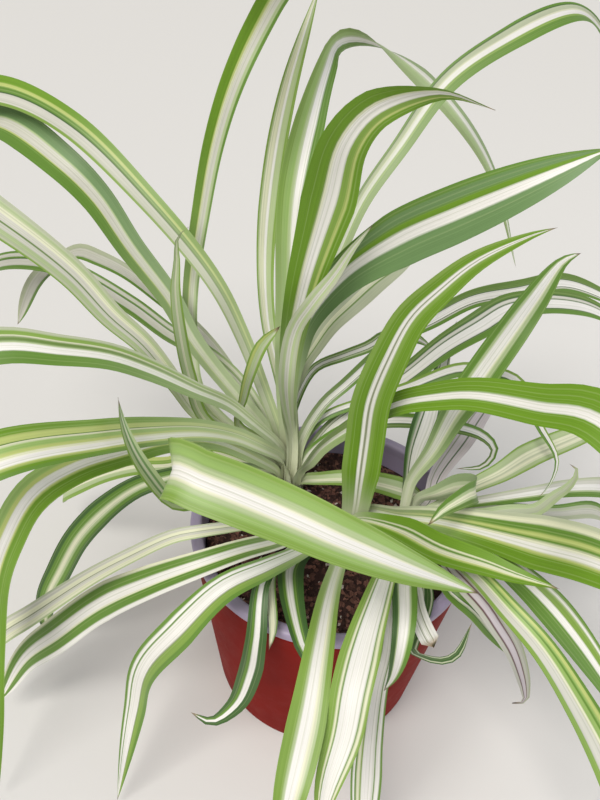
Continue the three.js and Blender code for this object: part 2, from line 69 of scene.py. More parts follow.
def calc(tree, operation, *values):
    return addNode(tree, "ShaderNodeMath", dict(enumerate(values)), operation=operation)


def scaled(tree, vector, amount):
    return addNode(tree, "ShaderNodeVectorMath", {0: vector, "Scale": amount}, operation="SCALE")


def remap(tree, value, span, result, curve="LINEAR"):
    # takes one span of values to another one and stops at its ends
    return addNode(tree, "ShaderNodeMapRange",
                   {0: value, 1: span[0], 2: span[1], 3: result[0], 4: result[1]}, interpolation_type=curve)


def fade(tree, value, span, result):
    return remap(tree, value, span, result, "SMOOTHSTEP")


def blend(tree, share, first, second):
    # mixes two colours, each a hex one or a socket's
    first, second = (linear(c) if isinstance(c, str) else c for c in (first, second))
    return addNode(tree, "ShaderNodeMix", {0: share, 6: first, 7: second}, data_type="RGBA").outputs[2]


def noise(tree, place, scale, detail, roughness=0.5, dimensions="3D"):
    return addNode(tree, "ShaderNodeTexNoise",
                   {"Vector": place, "Scale": scale, "Detail": detail, "Roughness": roughness},
                   noise_dimensions=dimensions)


def lineNoise(tree, place, scale, detail):
    # noise along one number
    return addNode(tree, "ShaderNodeTexNoise", {"W": place, "Scale": scale, "Detail": detail},
                   noise_dimensions="1D")


def bump(tree, height, strength, distance):
    return addNode(tree, "ShaderNodeBump", {"Strength": strength, "Distance": distance, "Height": height})


def newMaterial(name):
    material = bpy.data.materials.new(name)
    material.use_nodes = True
    material.node_tree.nodes.clear()
    return material, material.node_tree


def objectSpot(tree):
    return addNode(tree, "ShaderNodeTexCoord").outputs["Object"]


def finishMaterial(material, tree, looks):
    skin = addNode(tree, "ShaderNodeBsdfPrincipled", looks)
    addNode(tree, "ShaderNodeOutputMaterial", {"Surface": skin})
    return material


# camera and light
# the camera looks down on the plant from the front, held a little askew
camera = dict(place=(-17, -201, 327), pitch=39.2, roll=3.9, lens=31.5, nearest=0.01)
keyLight = dict(towards=(0.38, 0.55, -0.9), angle=35, power=2.65, colour="fffbf5")
fillLight = dict(place=(0.95, -0.5, 0.55), aim=(0, 0, 0.12), size=0.9, power=3, colour="eef3ff")
room = dict(colour="ececee", strength=0.45, floor="dcdbd8", floorRoughness=0.9, halfFloor=4.0)


def addCamera():
    pitch = math.radians(camera["pitch"])
    roll = math.radians(camera["roll"])
    level = Vector((1, 0, 0))
    above = Vector((0, math.sin(pitch), math.cos(pitch)))
    right = level * math.cos(roll) + above * math.sin(roll)
    up = above * math.cos(roll) - level * math.sin(roll)
    back = right.cross(up)
    data = bpy.data.cameras.new("photoCamera")
    data.lens = camera["lens"]
    data.clip_start = camera["nearest"]
    eye = bpy.data.objects.new("photoCamera", data)
    turn = Matrix((right, up, back)).transposed().to_4x4()
    eye.matrix_world = Matrix.Translation(Vector(camera["place"]) * mm) @ turn
    scene.collection.objects.link(eye)
    scene.camera = eye


def addLamp(name, kind, colour, power):
    data = bpy.data.lights.new(name, kind)
    data.energy = power
    data.color = linear(colour)[:3]
    lamp = bpy.data.objects.new(name, data)
    scene.collection.objects.link(lamp)
    return lamp


def addLights():
    key = addLamp("keyLight", "SUN", keyLight["colour"], keyLight["power"])
    key.data.angle = math.radians(keyLight["angle"])
    key.rotation_euler = Vector(keyLight["towards"]).to_track_quat("-Z", "Y").to_euler()
    fill = addLamp("fillLight", "AREA", fillLight["colour"], fillLight["power"])
    fill.data.shape = "DISK"
    fill.data.size = fillLight["size"]
    fill.location = fillLight["place"]
    fill.rotation_euler = (Vector(fillLight["aim"]) - fill.location).to_track_quat("-Z", "Y").to_euler()


def addRoom():
    world = bpy.data.worlds.new("studio")
    world.use_nodes = True
    background = world.node_tree.nodes["Background"].inputs
    background["Color"].default_value = linear(room["colour"])
    background["Strength"].default_value = room["strength"]
    scene.world = world
    half = room["halfFloor"]
    mesh = bpy.data.meshes.new("studioFloor")
    corners = [(-half, -half, 0), (half, -half, 0), (half, half, 0), (-half, half, 0)]
    mesh.from_pydata(corners, [], [(0, 1, 2, 3)])
    paper, tree = newMaterial("mattePaperFloor")
    finishMaterial(paper, tree, {"Base Color": linear(room["floor"]), "Roughness": room["floorRoughness"]})
    mesh.materials.append(paper)
    floor = bpy.data.objects.new("studioFloor", mesh)
    scene.collection.objects.link(floor)


addCamera()
addLights()
addRoom()
scene.view_settings.view_transform = "Standard"
print("camera, lights and floor are in")


# node trees, and what turns them into pieces
sameSpot = 2e-6  # points closer than this, in metres, are merged into one


def newTree(name, inputs):
    # inputs are the tree's socket names and their types, beside the geometry
    tree = bpy.data.node_groups.new(name, "GeometryNodeTree")
    for label, kind in dict(Geometry="Geometry", **inputs).items():
        tree.interface.new_socket(label, in_out="INPUT", socket_type="NodeSocket" + kind)
    tree.interface.new_socket("Geometry", in_out="OUTPUT", socket_type="NodeSocketGeometry")
    return tree, addNode(tree, "NodeGroupInput").outputs


def finishTree(tree, given, geometry):
    shaded = addNode(tree, "GeometryNodeSetShadeSmooth", {"Geometry": geometry, "Shade Smooth": True})
    plain = addNode(tree, "GeometryNodeRealizeInstances", {"Geometry": shaded})
    dressed = addNode(tree, "GeometryNodeSetMaterial", {"Geometry": plain, "Material": given["Material"]})
    addNode(tree, "NodeGroupOutput", {"Geometry": dressed})
    return tree


def makePiece(name, source, tree, values):
    # runs a tree on a source mesh and keeps the result as a plain mesh
    carrier = bpy.data.objects.new(name + "Source", source)
    scene.collection.objects.link(carrier)
    modifier = carrier.modifiers.new("shape", "NODES")
    modifier.node_group = tree
    sockets = {s.name: s.identifier for s in tree.interface.items_tree if s.in_out == "INPUT"}
    for label, value in values.items():
        modifier[sockets[label]] = value
    mesh = bakedMesh(carrier)
    mesh.name = name
    bpy.data.objects.remove(carrier)
    piece = bpy.data.objects.new(name, mesh)
    scene.collection.objects.link(piece)
    return piece


def bakedMesh(carrier):
    bpy.context.view_layer.update()
    shaped = carrier.evaluated_get(bpy.context.evaluated_depsgraph_get())
    return bpy.data.meshes.new_from_object(shaped)


def pointMesh(name, points, **lists):
    # a row of loose points, in order, with a named attribute for each list
    mesh = bpy.data.meshes.new(name)
    mesh.from_pydata([tuple(p) for p in points], [], [])
    for label, values in lists.items():
        values = np.asarray(values, np.float32)
        kind = "FLOAT_VECTOR" if values.ndim == 2 else "FLOAT"
        attribute = mesh.attributes.new(label, kind, "POINT")
        attribute.data.foreach_set("vector" if values.ndim == 2 else "value", values.ravel())
    return mesh


def namedField(tree, label, kind="FLOAT"):
    return addNode(tree, "GeometryNodeInputNamedAttribute", {"Name": label}, data_type=kind)


def atRow(tree, given, row, field, kind="FLOAT"):
    # what a field of the source mesh is at the point with the row's number
    return addNode(tree, "GeometryNodeSampleIndex",
                   {"Geometry": given["Geometry"], "Value": field, "Index": row}, data_type=kind)


def pointAtRow(tree, given, row):
    return atRow(tree, given, row, addNode(tree, "GeometryNodeInputPosition"), "FLOAT_VECTOR")


def rolledGrid(tree, rows, around):
    # a flat grid, each point's row, and the angle that its column has round the section
    grid = addNode(tree, "GeometryNodeMeshGrid", {"Vertices X": rows, "Vertices Y": around})
    index = addNode(tree, "GeometryNodeInputIndex")
    row = calc(tree, "FLOOR", calc(tree, "DIVIDE", index, around))
    column = calc(tree, "FLOORED_MODULO", index, around)
    turn = calc(tree, "DIVIDE", column, calc(tree, "SUBTRACT", around, 1.0))
    return grid, row, calc(tree, "MULTIPLY", turn, fullTurn)


def movedTo(tree, geometry, *steps):
    # every point goes to the sum of two vectors
    target = addNode(tree, "ShaderNodeVectorMath", dict(enumerate(steps)), operation="ADD")
    return addNode(tree, "GeometryNodeSetPosition", {"Geometry": geometry, "Position": target})


def merged(tree, geometry):
    return addNode(tree, "GeometryNodeMergeByDistance", {"Geometry": geometry, "Distance": sameSpot})


def bladeTree():
    # a ribbon along a row of midrib points: a closed lens in section, raised at both edges
    tree, given = newTree("bladeAlongMidrib", {
        "Rows": "Int", "Around": "Int", "Ripple": "Float", "Ripple Count": "Float", "Seed": "Float",
        "Material": "Material"})
    grid, row, angle = rolledGrid(tree, given["Rows"], given["Around"])
    sideways = calc(tree, "MULTIPLY", calc(tree, "COSINE", angle), -1.0)
    # the section is a lens that thins out to a sharp edge at both margins
    sine = calc(tree, "SINE", angle)
    lens = calc(tree, "MULTIPLY", sine, calc(tree, "ABSOLUTE", sine))
    # what each midrib point carries
    centre = pointAtRow(tree, given, row)
    across, face = (atRow(tree, given, row, namedField(tree, label, "FLOAT_VECTOR"), "FLOAT_VECTOR")
                    for label in ("across", "face"))
    halfWidth, halfThickness, rise, along = (
        atRow(tree, given, row, namedField(tree, label))
        for label in ("halfWidth", "halfThickness", "rise", "along"))
    # edges rise above the midrib as a soft V, and ripple a little along the blade
    softV = calc(tree, "POWER", calc(tree, "ABSOLUTE", sideways), 1.2)
    wavePlace = calc(tree, "MULTIPLY_ADD", along, given["Ripple Count"], given["Seed"])
    wave = calc(tree, "SINE", calc(tree, "MULTIPLY_ADD", sideways, 0.9, wavePlace))
    waveHeight = calc(tree, "MULTIPLY", softV, given["Ripple"])
    rippled = calc(tree, "MULTIPLY_ADD", wave, waveHeight, calc(tree, "MULTIPLY", softV, rise))
    raised = calc(tree, "MULTIPLY_ADD", lens, halfThickness, rippled)
    sideStep = scaled(tree, across, calc(tree, "MULTIPLY", sideways, halfWidth))
    offset = addNode(tree, "ShaderNodeVectorMath", {0: sideStep, 1: scaled(tree, face, raised)},
                     operation="ADD")
    kept = movedTo(tree, grid, centre, offset)
    # the skin's own coordinates: across from -1 to 1, along from root to tip, under on the lower face
    below = addNode(tree, "FunctionNodeCompare", {0: sine, 1: -0.05}, operation="LESS_THAN")
    for label, value in (("across", sideways), ("along", along), ("under", below)):
        kept = addNode(tree, "GeometryNodeStoreNamedAttribute",
                       {"Geometry": kept, "Name": label, "Value": value}, data_type="FLOAT", domain="POINT")
    flat = addNode(tree, "ShaderNodeCombineXYZ",
                   {"X": calc(tree, "MULTIPLY_ADD", sideways, 0.5, 0.5), "Y": along})
    mapped = addNode(tree, "GeometryNodeStoreNamedAttribute",
                     {"Geometry": kept, "Name": "UVMap", "Value": flat}, data_type="FLOAT2", domain="CORNER")
    # the margins are creases: the upper face isn't shaded into the lower one
    outward = calc(tree, "ABSOLUTE", namedField(tree, "across"))
    onMargin = addNode(tree, "FunctionNodeCompare", {0: outward, 1: nearlyOne}, operation="GREATER_THAN")
    creased = addNode(tree, "GeometryNodeSetShadeSmooth",
                      {"Geometry": merged(tree, mapped), "Selection": onMargin, "Shade Smooth": False},
                      domain="EDGE")
    return finishTree(tree, given, creased)


def turnedTree():
    # a profile of (radius, height) points turned about the axis; heights are the points' z
    tree, given = newTree("turnedProfile", {
        "Rows": "Int", "Sides": "Int", "Ribs": "Float", "Rib Depth": "Float", "Centre": "Vector",
        "Material": "Material"})
    grid, row, angle = rolledGrid(tree, given["Rows"], given["Sides"])
    parts = addNode(tree, "ShaderNodeSeparateXYZ", {"Vector": pointAtRow(tree, given, row)}).outputs
    ribWave = calc(tree, "COSINE", calc(tree, "MULTIPLY", angle, given["Ribs"]))
    ribStep = calc(tree, "MULTIPLY", ribWave, given["Rib Depth"])
    # points on the axis stay there
    offAxis = calc(tree, "GREATER_THAN", parts["X"], 0.0001)
    ribbed = calc(tree, "MULTIPLY_ADD", ribStep, offAxis, parts["X"])
    placeX, placeY = (calc(tree, "MULTIPLY", calc(tree, part, angle), ribbed) for part in ("COSINE", "SINE"))
    ring = addNode(tree, "ShaderNodeCombineXYZ", {"X": placeX, "Y": placeY, "Z": parts["Z"]})
    moved = movedTo(tree, grid, ring, given["Centre"])
    return finishTree(tree, given, merged(tree, moved))


# pots and soil
gap = 0.3  # clearance between pieces, in millimetres as are the next values
redPot = dict(height=95.4, rimRadius=59.4, footRadius=49, wall=2.2, floor=3, lip=1.2, footEdge=1.5, bend=0.8,
              colour="8a1b12", shade="6c120c", dust="cbbfc4", roughness=0.55, shine=0.05,
              cloudSize=28, grainSize=0.35, scuffSize=9)
growPot = dict(top=100, rimRadius=60, rimWidth=5, rimDepth=4.2, rimRoll=1.6, wall=1.6, floor=2, footEdge=1.5,
               bend=0.6, drainCount=6, drainRadius=4, drainCircle=26,
               colour="b3a9c0", shade="8c7f9c", dust="cbbfc4", roughness=0.42, shine=0.5,
               cloudSize=28, grainSize=0.5, scuffSize=5)
soilBed = dict(level=87, lumps=1.1, lumpSize=7, crumbs=5200, smallest=0.5, largest=2.6, seed=4,
               topDepth=0.5,  # what lies less than this below the level is the bed's upper face
               rings=40, colour="4a2e28", dry="97695a", wet="2b1a17", fleck="d8cfc4", roughness=0.95,
               clodSize=6, gritSize=1.6)


def roundCorner(profile, radius, steps=4):
    # a profile of (radius, height) corners with its inner corners rounded off, in millimetres
    mostOfSide = 0.45
    rounded = [profile[0]]
    for before, corner, after in zip(profile, profile[1:], profile[2:]):
        before, corner, after = (np.array(p, float) for p in (before, corner, after))
        sides = [np.linalg.norm(before - corner), np.linalg.norm(after - corner)]
        cut = min(radius, mostOfSide * sides[0], mostOfSide * sides[1])
        start = corner + (before - corner) / sides[0] * cut
        end = corner + (after - corner) / sides[1] * cut
        for i in range(steps + 1):
            t = i / steps
            rounded.append(tuple((1 - t) ** 2 * start + 2 * t * (1 - t) * corner + t * t * end))
    return rounded + [profile[-1]]


def redRadius(height):
    return redPot["footRadius"] + (redPot["rimRadius"] - redPot["footRadius"]) * height / redPot["height"]


def growRadius(height):
    return redRadius(height) - redPot["wall"] - 2 * gap


def turnPiece(name, profile, material, sides=129, ribs=0, ribDepth=0.0, centre=(0, 0)):
    points = [(radius * mm, 0, height * mm) for radius, height in profile]
    values = {"Rows": len(points), "Sides": sides, "Ribs": float(ribs), "Rib Depth": ribDepth * mm,
              "Centre": (centre[0] * mm, centre[1] * mm, 0), "Material": material}
    return makePiece(name, pointMesh(name + "Profile", points), turned, values)


def mouldedPlastic(name, look):
    # polypropylene, injection moulded: satin, with a faint grain and rubbed, slightly paler patches
    material, tree = newMaterial(name)
    spot = objectSpot(tree)
    clouds = noise(tree, spot, perMetre / look["cloudSize"], 4.0)
    body = blend(tree, clouds, look["shade"], look["colour"])
    grains = noise(tree, spot, perMetre / look["grainSize"], 2.0)
    scuffs = noise(tree, spot, perMetre / look["scuffSize"], 6.0, 0.7)
    dust = remap(tree, scuffs, (0.58, 0.75), (0.0, 0.02))
    gloss = remap(tree, scuffs, (0.3, 0.7), (look["roughness"] - 0.06, look["roughness"] + 0.12))
    return finishMaterial(material, tree, {
        "Base Color": blend(tree, dust, body, look["dust"]), "Roughness": gloss,
        "Normal": bump(tree, grains, 0.12, 0.0002), "IOR": 1.49, "Specular IOR Level": look["shine"]})


def crumbledSoil():
    # peat compost, sieved and watered: matt, dark red-brown with dry pale crumbs
    material, tree = newMaterial("peatCompost")
    spot = objectSpot(tree)
    clods = noise(tree, spot, perMetre / soilBed["clodSize"], 6.0, 0.7)
    grit = addNode(tree, "ShaderNodeTexVoronoi", {"Vector": spot, "Scale": perMetre / soilBed["gritSize"]})
    base = blend(tree, clods, soilBed["wet"], soilBed["colour"])
    # each crumb has a colour of its own, and its red and green say whether it is dry or a pale fleck
    crumb = addNode(tree, "ShaderNodeSeparateColor", {0: grit.outputs["Color"]}).outputs
    mixed = blend(tree, remap(tree, crumb[0], (0.55, 1.0), (0.0, 0.75)), base, soilBed["dry"])
    flecked = blend(tree, remap(tree, crumb[1], (0.965, 0.97), (0.0, 0.8)), mixed, soilBed["fleck"])
    return finishMaterial(material, tree, {"Base Color": flecked, "Roughness": soilBed["roughness"],
                                           "Normal": bump(tree, clods, 0.8, 0.0006)})


def makeRedPot():
    # the profile goes out along the foot, up the wall, over the lip and down the inside
    p = redPot
    edge, wall, floor, top = p["footEdge"], p["wall"], p["floor"], p["height"]
    rim, inner = p["rimRadius"], p["rimRadius"] - p["wall"]
    profile = [(0, 0), (p["footRadius"] - edge, 0), (redRadius(edge), edge), (rim - 0.2, top - p["lip"]),
               (rim - 0.6, top), (inner + 0.4, top), (inner, top - p["lip"]),
               (redRadius(floor + edge) - wall, floor + edge), (redRadius(floor) - wall - edge, floor),
               (0, floor)]
    plastic = mouldedPlastic("redPolypropylene", redPot)
    pot = turnPiece("redOuterPot", roundCorner(profile, p["bend"]), plastic)
    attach(pot, "root")
    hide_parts("red_pot")


def drainDrills(under, material):
    # one rod through the floor for each drain hole
    g = growPot
    radius = g["drainRadius"]
    rod = [(0, under - 1), (radius, under - 1), (radius, under + g["floor"] + 1), (0, under + g["floor"] + 1)]
    drills = []
    for i in range(g["drainCount"]):
        angle = (i + 0.5) / g["drainCount"] * fullTurn
        centre = (g["drainCircle"] * math.cos(angle), g["drainCircle"] * math.sin(angle))
        drills.append(turnPiece("drainDrill" + str(i), rod, material, sides=33, centre=centre))
    return drills


def makeGrowPot():
    # the same way round as the red pot, with a rim that reaches out over the red pot's lip
    g = growPot
    edge, wall, roll, top = g["footEdge"], g["wall"], g["rimRoll"], g["top"]
    under = redPot["floor"] + gap
    upper = under + g["floor"]
    skirt = redPot["height"] + gap
    shoulder = growRadius(skirt)
    rim, inner = g["rimRadius"], g["rimRadius"] - g["rimWidth"]
    profile = [(0, under), (growRadius(under) - edge, under), (growRadius(under + edge), under + edge),
               (shoulder, skirt), (rim - 0.5, skirt), (rim, skirt + 0.5), (rim, top - 1.2),
               (rim - 0.5, top - 0.4), (rim - roll, top), (inner + roll, top), (inner + 0.4, top - 0.5),
               (inner, top - roll), (shoulder - wall, top - g["rimDepth"] - 1),
               (growRadius(upper) - wall, upper), (0, upper)]
    plastic = mouldedPlastic("whitePolypropylene", growPot)
    pot = turnPiece("whiteGrowPot", roundCorner(profile, g["bend"]), plastic)
    for drill in drainDrills(under, plastic):
        cut = pot.modifiers.new("drain", "BOOLEAN")
        cut.operation = "DIFFERENCE"
        cut.object = drill
        mesh = bakedMesh(pot)
        pot.modifiers.clear()
        pot.data = mesh
        bpy.data.objects.remove(drill)
    pot.data.name = "whiteGrowPot"
    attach(pot, "root")
    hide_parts("grow_pot")


def soilTree():
    # lumps the bed with noise and strews crumbs over its upper face
    tree, given = newTree("strewnSoil", {
        "Level": "Float", "Reach": "Float", "Lumps": "Float", "Crumbs": "Float", "Smallest": "Float",
        "Largest": "Float", "Seed": "Int", "Material": "Material"})
    position = addNode(tree, "GeometryNodeInputPosition")
    parts = addNode(tree, "ShaderNodeSeparateXYZ", {"Vector": position}).outputs
    nearLevel = calc(tree, "SUBTRACT", given["Level"], soilBed["topDepth"] * mm)
    onTop = addNode(tree, "FunctionNodeCompare", {0: parts["Z"], 1: nearLevel}, operation="GREATER_THAN")
    flat = addNode(tree, "ShaderNodeCombineXYZ", {"X": parts["X"], "Y": parts["Y"]})
    radius = addNode(tree, "ShaderNodeVectorMath", {0: flat}, operation="LENGTH").outputs["Value"]
    inside = addNode(tree, "FunctionNodeCompare", {0: radius, 1: given["Reach"]}, operation="LESS_THAN")
    both = addNode(tree, "FunctionNodeBooleanMath", {0: onTop, 1: inside}, operation="AND")
    centred = calc(tree, "SUBTRACT", noise(tree, position, perMetre / soilBed["lumpSize"], 3.0), 0.5)
    lift = addNode(tree, "ShaderNodeCombineXYZ", {"Z": calc(tree, "MULTIPLY", centred, given["Lumps"])})
    bed = addNode(tree, "GeometryNodeSetPosition",
                  {"Geometry": given["Geometry"], "Selection": both, "Offset": lift})
    points = addNode(tree, "GeometryNodeDistributePointsOnFaces",
                     {"Mesh": bed, "Selection": both, "Density": given["Crumbs"], "Seed": given["Seed"]})
    # a crumb is a ball of one unit across, dented by noise and then sized
    ball = addNode(tree, "GeometryNodeMeshIcoSphere", {"Radius": 0.5, "Subdivisions": 2})
    ballPoint = addNode(tree, "GeometryNodeInputPosition")
    push = calc(tree, "MULTIPLY_ADD", noise(tree, ballPoint, 2.2, 2.0), 1.3, 0.35)
    rough = addNode(tree, "GeometryNodeSetPosition",
                    {"Geometry": ball, "Position": scaled(tree, ballPoint, push)})
    # most crumbs are small
    share = addNode(tree, "FunctionNodeRandomValue", {"Seed": given["Seed"]}, data_type="FLOAT").outputs[1]
    size = remap(tree, calc(tree, "POWER", share, 3.0), whole, (given["Smallest"], given["Largest"]))
    spin = addNode(tree, "FunctionNodeRandomValue", {1: (6.28, 6.28, 6.28), "Seed": given["Seed"]},
                   data_type="FLOAT_VECTOR")
    strewn = addNode(tree, "GeometryNodeInstanceOnPoints",
                     {"Points": points, "Instance": rough, "Rotation": spin, "Scale": size})
    joined = addNode(tree, "GeometryNodeJoinGeometry")
    tree.links.new(bed.outputs[0], joined.inputs[0])
    tree.links.new(strewn.outputs[0], joined.inputs[0])
    return finishTree(tree, given, joined)


def makeSoil():
    b = soilBed
    under = redPot["floor"] + gap + growPot["floor"] + gap
    wallGap = growPot["wall"] + gap
    edge = growRadius(b["level"]) - wallGap - 0.4
    profile = [(0, under), (growRadius(under) - wallGap - 1, under)]
    profile += [(edge * (1 - i / b["rings"]), b["level"]) for i in range(b["rings"] + 1)]
    bed = turnPiece("soilBed", profile, None, sides=145)
    area = math.pi * (edge * mm) ** 2
    values = {"Level": b["level"] * mm, "Reach": (edge - 1.5) * mm, "Lumps": 4 * b["lumps"] * mm,
              "Crumbs": b["crumbs"] / area, "Smallest": b["smallest"] * mm, "Largest": b["largest"] * mm,
              "Seed": b["seed"], "Material": crumbledSoil()}
    soil = makePiece("pottingSoil", bed.data, soilTree(), values)
    bpy.data.objects.remove(bed)
    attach(soil, "root")
    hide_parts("soil")


turned = turnedTree()
makeRedPot()
makeGrowPot()
makeSoil()
print("pots and soil are in")


# tufts and leaves
tuftShape = dict(
    foot=70, ribs=8, ribDepth=0.35, coreShare=0.4, coreDrop=44, bend=4,
    sheath="dfe0c8", vein="a9b378", veinWidth=1.2,
    # the core's radius as a share of the widest, at so many millimetres below its top
    crown=[(0.95, 14), (0.8, 6), (0.45, 1.5), (0, 0)],
)
tufts = dict(
    left=dict(place=(-19, 24), radius=8.5, top=132),
    middle=dict(place=(8, -4), radius=8, top=112),
    right=dict(place=(31, 3), radius=9, top=112),
)
blade = dict(
    thickness=0.4, footThickness=0.7, tipThickness=0.2, footEnd=0.2,
    rowStep=3.5,  # length of one row of faces
    fewestRows=28, mostRows=96, around=25,
    curveSteps=400, footSteps=60,  # how finely a midrib is measured
    opening=1.5,  # how late a blade opens from its root's width to its full width
    tipWidth=0.5,
    channel=0.12, rootChannel=0.22, footChannel=0.3, footLength=15,
    turn=0.35, turnStep=13,  # how far the face turns towards the light over so many millimetres
    footDepth=4,  # how deep a blade's foot stands in the soil
    outerFoot=0.85, innerFoot=0.2,  # where the lowest and the highest blade stand, in tuft radii
    tuftClear=2,  # how far beyond the tuft the foot ends
    footBend=0.45, jointBend=0.4,
    ripple=0.35, rippleLength=55,
)
# what a leaf has if its own row says nothing else
# one pair of numbers is painted light and shade: how much lighter or darker a leaf's colour is made at its
# root and at its tip
plainLeaf = dict(taper=2.5, wash=0.2, lines=0.12, paintedShadingAlong=(1.0, 1.0), roll=[0, 0], cutOff=False)
leafLook = dict(
    veinSpacing=0.62, slowLength=90, cloudSize=30,  # millimetres
    blanchStart=-8, blanchEnd=22,  # millimetres from the tuft's axis along the midrib
    dryStart=4, dryEnd=1,  # millimetres from the tip
    softness=0.022,  # how soft a stripe's border is, as a share of the width
    wander=0.05,  # how far the stripes stray, as a share of half the width
    veinLine="d0d8a2", veinGroove="a3ac8b", washed="c6d0aa", blanched="e0e1c9", dry="8a6f4e",
    bloom="c2c7b2", bloomShare=0.35,
)
sunPoint = np.array((-10, -170, 400))  # the leaves turn their upper faces to this point
# the stripes' colours, and which of them are green tissue
tissue = dict(bright="688f1f", fresh="7c9b42", leafy="618632", olive="5f7c35", deep="3f602c",
              glaucous="698954", willow="90ae60", mint="abbb8c", lime="b3bf70", sage="b2b99c")
blanched = dict(white="e6e4de", cream="d9dabc", ash="c9c8bc", rose="d9cfd4", line="8b9276", dried="6d4f50")

